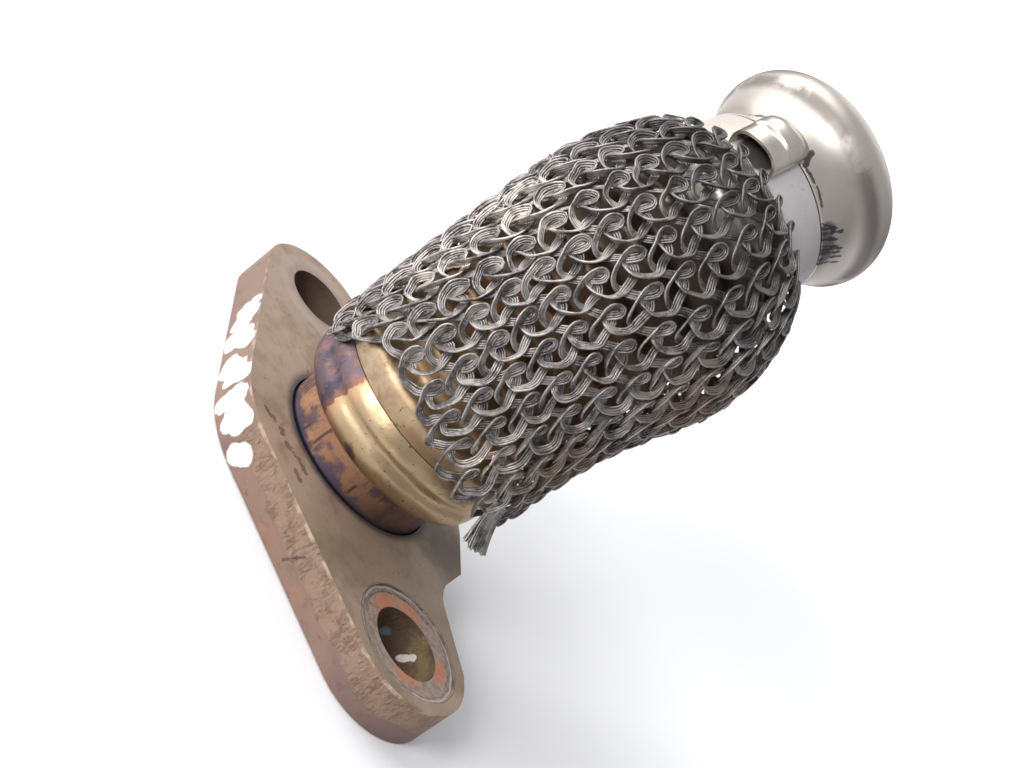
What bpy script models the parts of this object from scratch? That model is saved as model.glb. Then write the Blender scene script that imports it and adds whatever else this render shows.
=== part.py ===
"""Flanged exhaust gas hose: a bellows in a knitted wire sleeve, bent between a bolt-on plate and a flared outlet.

The part stands on the sealing face of its plate. The hose leaves the plate's other face along +Z, runs straight
through its neck, turns through one arc inside the bellows and ends in a short straight outlet.
"""
import math

import bmesh
import bpy
from mathutils import Matrix, Vector

MM = 0.001

# Space left between two pieces that touch
SEAT_GAP = 0.3 * MM

# Plate with two bolt holes
FLANGE_THICKNESS = 6.9 * MM
BOLT_SPACING = 62.0 * MM
BOLT_HOLE_RADIUS = 5.3 * MM
FLANGE_WAIST_RADIUS = 20.6 * MM
FLANGE_EAR_RADIUS = 10.4 * MM
FLANGE_EDGE_BREAK = 0.4 * MM
SPOT_FACE_RADIUS = 8.5 * MM
SPOT_FACE_DEPTH = 0.3 * MM

# Relief cut into one flank of the plate, beside the ear on +X
RELIEF_LENGTH = 9.0 * MM
RELIEF_FILLET_RADIUS = 6.0 * MM
RELIEF_SLOPE = math.radians(52.0)

# Neck tube that carries the hose in the plate
NECK_RADIUS = 12.77 * MM
NECK_WALL = 1.5 * MM
NECK_BARE_LENGTH = 5.0 * MM
NECK_RECESS = 1.4 * MM
NECK_OVERLAP = 5.5 * MM
SEAL_WELD_WIDTH = 1.2 * MM

# Formed band that closes the bellows on the neck
CUFF_LENGTH = 7.7 * MM
CUFF_WALL = 0.6 * MM
CUFF_SWELL = 2.0 * MM
CUFF_RIDGE_HEIGHT = 0.3 * MM

# Bellows
BELLOWS_WALL = 0.5 * MM
CONVOLUTION_COUNT = 8
CONVOLUTION_PITCH = 5.5 * MM
CONVOLUTION_HEIGHT = 2.4 * MM
NEAR_TANGENT_LENGTH = 6.0 * MM
FAR_TANGENT_LENGTH = 5.0 * MM
BEND_ANGLE = math.radians(47.0)
BEND_AZIMUTH = math.radians(122.4)

# Gas liner inside the bellows
LINER_WALL = 0.6 * MM
LINER_FREE_PLAY = 0.4 * MM
LINER_FLARE = 0.4 * MM

# Outlet tube and the band that closes the bellows on it
OUTLET_RADIUS = 13.3 * MM
OUTLET_WALL = 1.3 * MM
OUTLET_INSERTION = 4.0 * MM
OUTLET_BARE_LENGTH = 6.1 * MM
OUTLET_BAND_LENGTH = 3.6 * MM
OUTLET_BAND_WALL = 0.8 * MM

# Flared cup on the end of the outlet tube
CUP_WALL = 1.2 * MM
CUP_SPIGOT_LENGTH = 4.0 * MM
CUP_CREST_RADIUS = 16.2 * MM
CUP_BEAD_RADIUS = 4.6 * MM
CUP_BEAD_POSITION = 8.9 * MM
CUP_FILLET_RADIUS = 2.2 * MM
CUP_RIM_ANGLE = math.radians(66.0)
CUP_LAND_WIDTH = 1.3 * MM

# Hooded lug on the outlet tube, open towards the sleeve
LUG_LENGTH = 5.4 * MM
LUG_WIDTH = 7.2 * MM
LUG_HEIGHT = 2.2 * MM
LUG_WALL = 0.8 * MM
LUG_CORNER_RADIUS = 0.9 * MM
LUG_ANGLE = math.radians(170.0)

# Knitted sleeve over the bellows
SLEEVE_START_ROOM = 2.63 * MM
SLEEVE_END_ROOM = 1.63 * MM
SLEEVE_SWELL = 2.6 * MM
SLEEVE_SWELL_SHARE = 0.68
SLEEVE_SAG = 1.0 * MM
SLEEVE_WALL = 0.5 * MM
SLEEVE_START_SKEW = 4.8 * MM
SLEEVE_START_SKEW_ANGLE = math.radians(185.0)
SLEEVE_END_SET_BACK = 2.2 * MM
SLEEVE_END_SKEW = 1.5 * MM
SLEEVE_END_SKEW_ANGLE = math.radians(-90.0)
STRAND_WIDTH = 2.8 * MM
STRAND_RIDGE = 0.5 * MM
LOOPS_AROUND = 15
LOOP_ROWS = 8
HEM_LENGTH = 1.8 * MM

# Facets round each kind of piece
TUBE_SEGMENTS = 40
BELLOWS_SEGMENTS = 28
LINER_SEGMENTS = 24
ARC_STEPS = 5

# Places along the hose, measured from the plate's outer face
CUFF_START = NECK_BARE_LENGTH
CUFF_END = CUFF_START + CUFF_LENGTH
CONVOLUTIONS_START = CUFF_END + SEAT_GAP
CONVOLUTIONS_END = CONVOLUTIONS_START + CONVOLUTION_COUNT * CONVOLUTION_PITCH
BELLOWS_START = CONVOLUTIONS_START - NEAR_TANGENT_LENGTH
BELLOWS_END = CONVOLUTIONS_END + FAR_TANGENT_LENGTH
BEND_LENGTH = CONVOLUTIONS_END - CONVOLUTIONS_START
BEND_RADIUS = BEND_LENGTH / BEND_ANGLE

# Places along the outlet, measured from the end of the bend
OUTLET_START = FAR_TANGENT_LENGTH - OUTLET_INSERTION
OUTLET_CREASE = FAR_TANGENT_LENGTH + OUTLET_BARE_LENGTH

# Radii that follow from the pieces inside
BELLOWS_NEAR_RADIUS = NECK_RADIUS + SEAT_GAP + BELLOWS_WALL
BELLOWS_FAR_RADIUS = OUTLET_RADIUS + SEAT_GAP + BELLOWS_WALL
BELLOWS_CREST_RADIUS = BELLOWS_NEAR_RADIUS + CONVOLUTION_HEIGHT
SLEEVE_START_RADIUS = BELLOWS_CREST_RADIUS + SLEEVE_START_ROOM
SLEEVE_END_RADIUS = BELLOWS_CREST_RADIUS + SLEEVE_END_ROOM
CUFF_LIP_RADIUS = NECK_RADIUS + SEAT_GAP + CUFF_WALL
CUFF_CLOSING_RADIUS = BELLOWS_NEAR_RADIUS + SEAT_GAP + CUFF_WALL
BAND_OUTER_RADIUS = BELLOWS_FAR_RADIUS + SEAT_GAP + OUTLET_BAND_WALL
LINER_RADIUS = min(NECK_RADIUS - NECK_WALL, OUTLET_RADIUS - OUTLET_WALL) - LINER_FREE_PLAY


def clear_scene():
    """Remove every object, so that the model starts alone."""
    for item in list(bpy.data.objects):
        bpy.data.objects.remove(item, do_unlink=True)


def make_material(name, colour, roughness, metallic):
    """One plain finish."""
    finish = bpy.data.materials.new(name)
    finish.use_nodes = True
    shader = finish.node_tree.nodes["Principled BSDF"]
    shader.inputs["Base Color"].default_value = (*colour, 1.0)
    shader.inputs["Roughness"].default_value = roughness
    shader.inputs["Metallic"].default_value = metallic
    finish.diffuse_color = (*colour, 1.0)
    return finish


def make_empty(name, parent=None, matrix=None):
    """A frame that pieces hang on."""
    frame = bpy.data.objects.new(name, None)
    bpy.context.collection.objects.link(frame)
    frame.parent = parent
    if matrix is not None:
        frame.matrix_local = matrix
    return frame


def add_object(name, bm, finish, parent):
    """Turn a finished bmesh into a named object, with smooth round faces and sharp edges."""
    bmesh.ops.recalc_face_normals(bm, faces=bm.faces)
    mesh = bpy.data.meshes.new(name)
    bm.to_mesh(mesh)
    bm.free()
    mesh.shade_smooth()
    mesh.set_sharp_from_angle(angle=math.radians(35.0))
    item = bpy.data.objects.new(name, mesh)
    bpy.context.collection.objects.link(item)
    item.parent = parent
    if finish is not None:
        mesh.materials.append(finish)
    return item


def add_cutter(name, bm, parent):
    """A tool body for a Boolean, kept out of the model itself."""
    cutter = add_object(name, bm, None, parent)
    cutter.hide_render = True
    cutter.display_type = "WIRE"
    return cutter


def cut(item, cutter):
    """Take one body out of another."""
    modifier = item.modifiers.new("cut " + cutter.name, "BOOLEAN")
    modifier.operation = "DIFFERENCE"
    modifier.solver = "EXACT"
    modifier.object = cutter


def bevel(item, width, segments, angle):
    """Round every edge sharper than the given angle."""
    modifier = item.modifiers.new("edges", "BEVEL")
    modifier.width = width
    modifier.segments = segments
    modifier.limit_method = "ANGLE"
    modifier.angle_limit = angle


def cylinder(radius, low, high, x=0.0, y=0.0, segments=TUBE_SEGMENTS):
    """A closed upright cylinder between two heights."""
    bm = bmesh.new()
    middle = Matrix.Translation((x, y, (low + high) / 2.0))
    bmesh.ops.create_cone(
        bm,
        cap_ends=True,
        segments=segments,
        radius1=radius,
        radius2=radius,
        depth=high - low,
        matrix=middle,
    )
    return bm


def arc(centre, radius, start, end, steps):
    """Points of a flat arc, both ends included."""
    points = []
    for step in range(steps + 1):
        angle = start + (end - start) * step / steps
        points.append((centre[0] + radius * math.cos(angle), centre[1] + radius * math.sin(angle)))
    return points


def along_bend(point):
    """Carry a point of the straight hose onto the bent one, which turns towards +X of its own frame."""
    turned_length = min(max(point.z - CONVOLUTIONS_START, 0.0), BEND_LENGTH)
    angle = turned_length / BEND_RADIUS
    beyond = max(point.z - CONVOLUTIONS_END, 0.0)
    before = min(point.z, CONVOLUTIONS_START)
    axis = Vector((math.sin(angle), 0.0, math.cos(angle)))
    across = Vector((math.cos(angle), 0.0, -math.sin(angle)))
    centre = Vector((BEND_RADIUS * (1.0 - math.cos(angle)), 0.0, before + BEND_RADIUS * math.sin(angle)))
    return centre + axis * beyond + across * point.x + Vector((0.0, point.y, 0.0))


def bend_mesh(bm):
    """Bend everything in a bmesh along the hose."""
    for vertex in bm.verts:
        vertex.co = along_bend(vertex.co)


def turn(profile, segments):
    """Spin a closed profile of (height, radius) points once round the Z axis."""
    bm = bmesh.new()
    ring = [bm.verts.new((radius, 0.0, height)) for height, radius in profile]
    edges = [bm.edges.new((ring[i - 1], ring[i])) for i in range(len(ring))]
    bmesh.ops.spin(
        bm,
        geom=ring + edges,
        cent=(0.0, 0.0, 0.0),
        axis=(0.0, 0.0, 1.0),
        angle=math.tau,
        steps=segments,
        use_merge=True,
    )
    bmesh.ops.remove_doubles(bm, verts=bm.verts, dist=0.001 * MM)
    return bm


def wall_profile(outer, wall):
    """Close an outer line of (height, radius) points with the same line one wall further in."""
    inner = [(height, radius - wall) for height, radius in reversed(outer)]
    return outer + inner


def flange_outline():
    """Half diamond, round ears and the relief in one flank, anticlockwise from the ear on +X."""
    half = BOLT_SPACING / 2.0
    lean = math.asin((FLANGE_WAIST_RADIUS - FLANGE_EAR_RADIUS) / half)
    flank = math.pi / 2.0 - lean
    normal = (math.cos(flank), math.sin(flank))
    ear = (half, 0.0)
    opposite_ear = (-half, 0.0)
    points = arc(ear, FLANGE_EAR_RADIUS, -flank, math.pi / 2.0, 3 * ARC_STEPS)
    # The relief's floor leaves the ear level, then a fillet lifts it to the flank
    floor_end = half - RELIEF_LENGTH
    fillet_centre = (floor_end, FLANGE_EAR_RADIUS + RELIEF_FILLET_RADIUS)
    low = -math.pi / 2.0
    points += arc(fillet_centre, RELIEF_FILLET_RADIUS, low, low - RELIEF_SLOPE, ARC_STEPS)
    last = Vector(points[-1])
    climb = Vector((-math.cos(RELIEF_SLOPE), math.sin(RELIEF_SLOPE)))
    missing = FLANGE_WAIST_RADIUS - (last.x * normal[0] + last.y * normal[1])
    corner = last + climb * (missing / (climb.x * normal[0] + climb.y * normal[1]))
    points.append((corner.x, corner.y))
    points += arc((0.0, 0.0), FLANGE_WAIST_RADIUS, flank, math.pi - flank, 2 * ARC_STEPS)
    points += arc(opposite_ear, FLANGE_EAR_RADIUS, math.pi - flank, math.pi + flank, 3 * ARC_STEPS)
    points += arc((0.0, 0.0), FLANGE_WAIST_RADIUS, math.pi + flank, math.tau - flank, 2 * ARC_STEPS)
    return points


def build_flange(finish, stand):
    """Plate with its outline, broken edges, bore, bolt holes and spot faces."""
    bm = bmesh.new()
    outline = [bm.verts.new((x, y, 0.0)) for x, y in flange_outline()]
    face = bm.faces.new(outline)
    grown = bmesh.ops.extrude_face_region(bm, geom=[face])
    risen = [element for element in grown["geom"] if isinstance(element, bmesh.types.BMVert)]
    bmesh.ops.translate(bm, verts=risen, vec=(0.0, 0.0, FLANGE_THICKNESS))
    flange = add_object("flange", bm, finish, stand)
    bevel(flange, FLANGE_EDGE_BREAK, 1, math.radians(60.0))
    through = FLANGE_THICKNESS + 2.0 * SEAT_GAP
    bore = cylinder(NECK_RADIUS + SEAT_GAP, -SEAT_GAP, through)
    cut(flange, add_cutter("bore_cutter", bore, stand))
    for side, name in ((-1.0, "left"), (1.0, "right")):
        x = side * BOLT_SPACING / 2.0
        hole = cylinder(BOLT_HOLE_RADIUS, -SEAT_GAP, through, x=x, segments=32)
        cut(flange, add_cutter("hole_cutter_" + name, hole, stand))
        seat = cylinder(SPOT_FACE_RADIUS, FLANGE_THICKNESS - SPOT_FACE_DEPTH, through, x=x, segments=32)
        cut(flange, add_cutter("seat_cutter_" + name, seat, stand))


def build_neck(tube_finish, weld_finish, hose):
    """Tube through the plate, and the weld that holds it inside the plate's sealing side."""
    low = NECK_RECESS - FLANGE_THICKNESS
    high = CUFF_START + NECK_OVERLAP
    outer = [(low, NECK_RADIUS), (high, NECK_RADIUS)]
    neck = turn(wall_profile(outer, NECK_WALL), TUBE_SEGMENTS)
    add_object("neck_tube", neck, tube_finish, hose)
    foot = SEAT_GAP - FLANGE_THICKNESS
    top = low - SEAT_GAP
    bead = [(foot, NECK_RADIUS), (top, NECK_RADIUS), (top, NECK_RADIUS - SEAL_WELD_WIDTH)]
    add_object("seal_weld", turn(bead, TUBE_SEGMENTS), weld_finish, hose)


def cuff_outer_radius(share):
    """Outer radius of the cuff: a lip on the neck, a swell with two shallow ridges, then the closing groove."""
    plain = CUFF_LIP_RADIUS + (CUFF_CLOSING_RADIUS - CUFF_LIP_RADIUS) * share
    fade = math.sin(math.pi * share)
    ridges = CUFF_RIDGE_HEIGHT * math.cos(4.0 * math.pi * (share - 0.3))
    return plain + CUFF_SWELL * fade ** 0.8 + ridges * fade


def build_cuff(finish, hose):
    """Formed band over the bellows' near end. Its wall follows its outer form."""
    steps = 2 * ARC_STEPS
    outer = []
    for step in range(steps + 1):
        share = step / steps
        outer.append((CUFF_START + CUFF_LENGTH * share, cuff_outer_radius(share)))
    add_object("bellows_cuff", turn(wall_profile(outer, CUFF_WALL), TUBE_SEGMENTS), finish, hose)


def bellows_outer_line():
    """Outer line of the bellows: near tangent, convolutions, far tangent."""
    line = [(BELLOWS_START, BELLOWS_NEAR_RADIUS)]
    samples = 4
    for step in range(CONVOLUTION_COUNT * samples + 1):
        height = CONVOLUTIONS_START + CONVOLUTION_PITCH * step / samples
        wave = 0.5 - 0.5 * math.cos(math.tau * step / samples)
        line.append((height, BELLOWS_NEAR_RADIUS + CONVOLUTION_HEIGHT * wave))
    line[-1] = (CONVOLUTIONS_END, BELLOWS_FAR_RADIUS)
    line.append((BELLOWS_END, BELLOWS_FAR_RADIUS))
    return line


def build_bellows(finish, hose):
    """Thin corrugated tube, bent along the hose."""
    bm = turn(wall_profile(bellows_outer_line(), BELLOWS_WALL), BELLOWS_SEGMENTS)
    bend_mesh(bm)
    add_object("bellows", bm, finish, hose)


def build_liner(finish, hose):
    """Thin gas liner, held in the neck and free in the outlet, its tail opened a little."""
    low = SEAT_GAP
    high = CONVOLUTIONS_END + OUTLET_START + OUTLET_INSERTION
    steps = ARC_STEPS + 3
    outer = []
    for step in range(steps + 1):
        share = step / steps
        outer.append((low + (high - low) * share, LINER_RADIUS))
    mouth_radius = LINER_RADIUS + min(LINER_FLARE, LINER_FREE_PLAY - SEAT_GAP / 2.0) / 2.0
    outer[0] = (low, mouth_radius)
    bm = turn(wall_profile(outer, LINER_WALL), LINER_SEGMENTS)
    bend_mesh(bm)
    add_object("gas_liner", bm, finish, hose)


def build_outlet(tube_finish, band_finish, outlet):
    """Straight outlet tube and the band that closes the bellows on it."""
    outer = [(OUTLET_START, OUTLET_RADIUS), (OUTLET_CREASE - SEAT_GAP, OUTLET_RADIUS)]
    tube = turn(wall_profile(outer, OUTLET_WALL), TUBE_SEGMENTS)
    add_object("outlet_tube", tube, tube_finish, outlet)
    band_high = FAR_TANGENT_LENGTH
    band_low = band_high - OUTLET_BAND_LENGTH
    soft = OUTLET_BAND_WALL / 4.0
    band_line = [
        (band_low, BAND_OUTER_RADIUS - soft),
        (band_low + soft, BAND_OUTER_RADIUS),
        (band_high - soft, BAND_OUTER_RADIUS),
        (band_high, BAND_OUTER_RADIUS - soft),
    ]
    band_inner = BAND_OUTER_RADIUS - OUTLET_BAND_WALL
    band_line += [(band_high, band_inner), (band_low, band_inner)]
    add_object("outlet_band", turn(band_line, TUBE_SEGMENTS), band_finish, outlet)


def build_cup(finish, outlet):
    """Flared cup: a spigot inside the tube, a fillet, a round bead and a flat land at the mouth."""
    spigot = OUTLET_RADIUS - OUTLET_WALL - SEAT_GAP
    bead = (OUTLET_CREASE + CUP_BEAD_POSITION, CUP_CREST_RADIUS - CUP_BEAD_RADIUS)
    fillet = (OUTLET_CREASE + CUP_FILLET_RADIUS / 2.0, OUTLET_RADIUS + CUP_FILLET_RADIUS)
    outer = [(OUTLET_CREASE - CUP_SPIGOT_LENGTH, spigot), (OUTLET_CREASE, spigot), (OUTLET_CREASE, OUTLET_RADIUS)]
    down = -math.pi / 2.0
    outer += arc(fillet, CUP_FILLET_RADIUS, down, down + math.radians(50.0), 3)
    outer += arc(bead, CUP_BEAD_RADIUS, math.radians(142.0), math.pi / 2.0 - CUP_RIM_ANGLE, 2 * ARC_STEPS)
    mouth = outer[-1][0]
    land_inner = outer[-1][1] - CUP_LAND_WIDTH
    hollow = CUP_BEAD_RADIUS - CUP_WALL
    inner = [(mouth, land_inner)]
    inner += arc(bead, hollow, math.pi / 2.0 - CUP_RIM_ANGLE * 0.8, math.radians(150.0), ARC_STEPS)
    inner += [(OUTLET_CREASE + CUP_WALL, spigot - CUP_WALL), (OUTLET_CREASE - CUP_SPIGOT_LENGTH, spigot - CUP_WALL)]
    add_object("flared_cup", turn(outer + inner, TUBE_SEGMENTS), finish, outlet)


def lug_block(low, high, inner, outer, width):
    """A closed box on the +X side of the outlet."""
    bm = bmesh.new()
    size = Matrix.Diagonal((outer - inner, width, high - low, 1.0))
    place = Matrix.Translation(((inner + outer) / 2.0, 0.0, (low + high) / 2.0))
    bmesh.ops.create_cube(bm, size=1.0, matrix=place @ size)
    return bm


def build_lug(finish, outlet):
    """Hooded lug: a rounded block, hollowed from its open end and seated on the tube's round."""
    turned = make_empty("lug_axis", outlet, Matrix.Rotation(LUG_ANGLE, 4, "Z"))
    high = OUTLET_CREASE - SEAT_GAP
    low = high - LUG_LENGTH
    floor = OUTLET_RADIUS - LUG_HEIGHT
    top = OUTLET_RADIUS + LUG_HEIGHT
    lug = add_object("locating_lug", lug_block(low, high, floor, top, LUG_WIDTH), finish, turned)
    bevel(lug, LUG_CORNER_RADIUS, 2, math.radians(60.0))
    mouth = lug_block(
        low - LUG_WALL,
        high - LUG_WALL,
        floor - LUG_WALL,
        top - LUG_WALL,
        LUG_WIDTH - 2.0 * LUG_WALL,
    )
    cut(lug, add_cutter("lug_mouth_cutter", mouth, turned))
    seat = cylinder(OUTLET_RADIUS + SEAT_GAP, low - LUG_WALL, high + LUG_WALL)
    cut(lug, add_cutter("lug_seat_cutter", seat, turned))


def sleeve_form(height):
    """Outer radius of the sleeve at one height, and how far it hangs: both grow where it swells."""
    share = (height - CUFF_END) / (BELLOWS_END - CUFF_END)
    share = min(max(share, 0.0), 1.0)
    lean = math.log(0.5) / math.log(SLEEVE_SWELL_SHARE)
    fullness = math.sin(math.pi * share ** lean) ** 2
    plain = SLEEVE_START_RADIUS + (SLEEVE_END_RADIUS - SLEEVE_START_RADIUS) * share
    return plain + SLEEVE_SWELL * fullness, SLEEVE_SAG * (1.0 + fullness)


def sleeve_ends(angle):
    """Where the sleeve starts and ends at one angle: neither cut is square."""
    start = CUFF_END + SLEEVE_START_SKEW * math.cos(angle - SLEEVE_START_SKEW_ANGLE)
    end = BELLOWS_END - SLEEVE_END_SET_BACK
    end += SLEEVE_END_SKEW * math.cos(angle - SLEEVE_END_SKEW_ANGLE)
    return start, end


def sleeve_point(index, share, gathered=False):
    """A point of the straight sleeve, which hangs to its own -Y side. Gathered, it lies round the band."""
    angle = math.pi * index / LOOPS_AROUND
    start, end = sleeve_ends(angle)
    height = start + (end - start) * share
    radius, sag = sleeve_form(height)
    if gathered:
        radius = BAND_OUTER_RADIUS + SEAT_GAP + SLEEVE_WALL + sag
    return Vector((radius * math.cos(angle), radius * math.sin(angle) - sag, height))


def build_sleeve(finish, hose):
    """Knitted sleeve as one wall: staggered loops around open gaps, each strand a ridge."""
    bm = bmesh.new()
    around = 2 * LOOPS_AROUND
    length = BELLOWS_END - CUFF_END
    hem = HEM_LENGTH / length
    row = (1.0 - 2.0 * hem) / LOOP_ROWS
    zigzag = row / 5.0
    lines = []
    for level in range(LOOP_ROWS + 1):
        line = []
        for index in range(around):
            side = -1.0 if (index + level) % 2 == 0 else 1.0
            share = hem + row * level + zigzag * side
            line.append(bm.verts.new(sleeve_point(index, share)))
        lines.append(line)
    first = [bm.verts.new(sleeve_point(index, 0.0)) for index in range(around)]
    last = [bm.verts.new(sleeve_point(index, 1.0, gathered=True)) for index in range(around)]
    for index in range(around):
        before = index - 1
        bm.faces.new((first[before], first[index], lines[0][index], lines[0][before]))
        bm.faces.new((lines[-1][before], lines[-1][index], last[index], last[before]))
    loops = []
    for level in range(LOOP_ROWS):
        low, high = lines[level], lines[level + 1]
        for index in range(level % 2, around, 2):
            after = (index + 1) % around
            ring = (low[index - 1], low[index], low[after], high[after], high[index], high[index - 1])
            loops.append(bm.faces.new(ring))
    bmesh.ops.recalc_face_normals(bm, faces=bm.faces)
    bmesh.ops.inset_individual(bm, faces=loops, thickness=STRAND_WIDTH / 2.0, depth=-STRAND_RIDGE)
    bmesh.ops.delete(bm, geom=loops, context="FACES_ONLY")
    bend_mesh(bm)
    sleeve = add_object("knitted_sleeve", bm, finish, hose)
    wall = sleeve.modifiers.new("wall", "SOLIDIFY")
    wall.thickness = SLEEVE_WALL
    wall.offset = -1.0


def centre_over_origin(stand):
    """Slide the whole part sideways until the middle of its box is over the origin."""
    bpy.context.view_layer.update()
    depsgraph = bpy.context.evaluated_depsgraph_get()
    corners = []
    for item in bpy.data.objects:
        if item.type == "MESH" and not item.hide_render:
            evaluated = item.evaluated_get(depsgraph)
            corners += [evaluated.matrix_world @ vertex.co for vertex in evaluated.data.vertices]
    middle_x = (min(c.x for c in corners) + max(c.x for c in corners)) / 2.0
    middle_y = (min(c.y for c in corners) + max(c.y for c in corners)) / 2.0
    stand.location = (-middle_x, -middle_y, 0.0)


def main():
    """Build the hose from its plate to its outlet."""
    clear_scene()
    plate_steel = make_material("plate_steel", (0.36, 0.28, 0.22), 0.55, 0.8)
    tinted_steel = make_material("tinted_steel", (0.34, 0.24, 0.20), 0.4, 0.9)
    weld_steel = make_material("weld_steel", (0.30, 0.28, 0.27), 0.5, 0.9)
    golden_steel = make_material("golden_steel", (0.52, 0.43, 0.27), 0.3, 1.0)
    liner_steel = make_material("liner_steel", (0.45, 0.40, 0.34), 0.4, 1.0)
    tube_steel = make_material("tube_steel", (0.66, 0.64, 0.66), 0.45, 0.9)
    bright_steel = make_material("bright_steel", (0.72, 0.69, 0.65), 0.2, 1.0)
    wire_steel = make_material("wire_steel", (0.16, 0.155, 0.15), 0.5, 0.8)

    stand = make_empty("stand")
    lift = Matrix.Translation((0.0, 0.0, FLANGE_THICKNESS))
    hose = make_empty("hose_axis", stand, lift @ Matrix.Rotation(BEND_AZIMUTH, 4, "Z"))
    bend_end = along_bend(Vector((0.0, 0.0, CONVOLUTIONS_END)))
    outlet = make_empty("outlet_axis", hose, Matrix.Translation(bend_end) @ Matrix.Rotation(BEND_ANGLE, 4, "Y"))

    build_flange(plate_steel, stand)
    build_neck(tinted_steel, weld_steel, hose)
    build_cuff(golden_steel, hose)
    build_bellows(golden_steel, hose)
    build_liner(liner_steel, hose)
    build_outlet(tube_steel, golden_steel, outlet)
    build_cup(bright_steel, outlet)
    build_lug(tube_steel, outlet)
    build_sleeve(wire_steel, hose)
    centre_over_origin(stand)


main()
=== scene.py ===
"""Dressed model of a flanged exhaust gas hose.

It has a worn plate, a heat-tinted neck, bellows, a knitted sleeve and a flared outlet. Every turned piece is
modelled straight, on an upright axis, and then carried onto the bent hose. The frame gives the place of the
neck and the height of the plate. All sizes are in millimetres until a piece is finished.
"""
from __future__ import annotations

import logging
import math
import random
from dataclasses import dataclass, field
from enum import Enum

import bpy
from mathutils import Matrix, Vector, noise

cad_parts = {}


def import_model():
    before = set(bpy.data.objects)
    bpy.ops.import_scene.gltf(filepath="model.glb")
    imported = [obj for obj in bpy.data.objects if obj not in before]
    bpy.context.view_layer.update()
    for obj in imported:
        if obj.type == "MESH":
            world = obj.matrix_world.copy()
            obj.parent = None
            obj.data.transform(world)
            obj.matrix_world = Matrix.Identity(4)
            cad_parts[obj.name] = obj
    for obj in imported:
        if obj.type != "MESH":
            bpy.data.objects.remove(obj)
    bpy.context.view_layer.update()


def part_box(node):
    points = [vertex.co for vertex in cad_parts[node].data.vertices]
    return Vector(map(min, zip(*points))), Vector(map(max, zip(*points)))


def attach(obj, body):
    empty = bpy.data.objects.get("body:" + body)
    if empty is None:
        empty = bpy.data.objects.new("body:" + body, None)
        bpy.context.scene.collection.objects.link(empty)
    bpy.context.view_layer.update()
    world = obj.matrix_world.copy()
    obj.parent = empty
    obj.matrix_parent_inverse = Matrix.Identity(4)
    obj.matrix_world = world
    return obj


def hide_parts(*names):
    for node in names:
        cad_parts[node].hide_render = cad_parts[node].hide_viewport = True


MM = 0.001
DOUBLED = 0.0005
NUMBER = "NodeSocketFloat"
ARROW = "NodeSocketVector"
LOG = logging.getLogger("gas_hose")

Colour = tuple[float, float, float]
Point2 = tuple[float, float]
Line = tuple[Vector, Vector]
Piece = bpy.types.Object
Socket = bpy.types.NodeSocket
NodeTree = bpy.types.NodeTree


class Side(Enum):
    """The two ends of the plate, named by the sign of X."""

    LEFT = -1.0
    RIGHT = 1.0


def srgb(red: int, green: int, blue: int) -> Colour:
    """Turn an 8-bit screen colour into the linear one that a shader takes.

    Args:
        red: Red level from 0 to 255.
        green: Green level.
        blue: Blue level.

    Returns:
        The linear colour.
    """
    values = []
    for level in (red, green, blue):
        share = level / 255.0
        values.append(share / 12.92 if share <= 0.04045 else ((share + 0.055) / 1.055) ** 2.4)
    return values[0], values[1], values[2]


# Hose line


@dataclass(frozen=True)
class HoseLine:
    """The hose's middle line: straight through the neck, one arc in the bellows, straight at the outlet.

    Straight coordinates are x towards the bend, y to its left and z along the hose from the plate's face.
    """

    origin: Vector
    azimuth: float = math.radians(122.4)
    bend_start: float = 13.0
    bend_length: float = 44.0
    bend_angle: float = math.radians(47.0)

    @property
    def bend_end(self) -> float:
        """Where the arc ends."""
        return self.bend_start + self.bend_length

    def place(self, point: Vector) -> Vector:
        """Carry one straight point to its place in the part.

        Args:
            point: Straight coordinates in millimetres.

        Returns:
            The place in the part's frame, in metres.
        """
        radius = self.bend_length / self.bend_angle
        angle = min(max(point.z - self.bend_start, 0.0), self.bend_length) / radius
        before = min(point.z, self.bend_start)
        beyond = max(point.z - self.bend_end, 0.0)
        along = Vector((math.sin(angle), 0.0, math.cos(angle)))
        across = Vector((math.cos(angle), 0.0, -math.sin(angle)))
        centre = Vector((radius * (1.0 - math.cos(angle)), 0.0, before + radius * math.sin(angle)))
        bent = centre + along * beyond + across * point.x + Vector((0.0, point.y, 0.0))
        return (Matrix.Rotation(self.azimuth, 3, "Z") @ bent) * MM + self.origin

    def carry(self, piece: Piece) -> None:
        """Carry a piece onto the hose.

        Args:
            piece: A piece modelled in straight millimetres.
        """
        for vertex in piece.data.vertices:
            vertex.co = self.place(vertex.co)
        piece.data.update()


# Modelling with the operators


def deselect() -> None:
    """Leave nothing selected and nothing in edit mode."""
    if bpy.context.object is not None and bpy.context.object.mode != "OBJECT":
        bpy.ops.object.mode_set(mode="OBJECT")
    bpy.ops.object.select_all(action="DESELECT")


def pick(piece: Piece) -> None:
    """Make one object the only selected and the active one.

    Args:
        piece: The object.
    """
    deselect()
    piece.select_set(True)
    bpy.context.view_layer.objects.active = piece


def settle(piece: Piece, name: str) -> Piece:
    """Name a piece and apply its place, so that its object sits at the origin.

    Args:
        piece: A new piece.
        name: Its name from here on.

    Returns:
        The same piece.
    """
    pick(piece)
    bpy.ops.object.transform_apply(location=True, rotation=True, scale=True)
    piece.name = name
    piece.data.name = name
    return piece


def finish_modifiers(piece: Piece) -> None:
    """Apply every modifier of a piece in order.

    Args:
        piece: The piece.
    """
    pick(piece)
    for modifier in list(piece.modifiers):
        bpy.ops.object.modifier_apply(modifier=modifier.name)


def smooth(piece: Piece, degrees: float = 40.0) -> None:
    """Shade a piece smooth, with its sharp edges kept."""
    pick(piece)
    bpy.ops.object.shade_smooth_by_angle(angle=math.radians(degrees))


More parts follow.
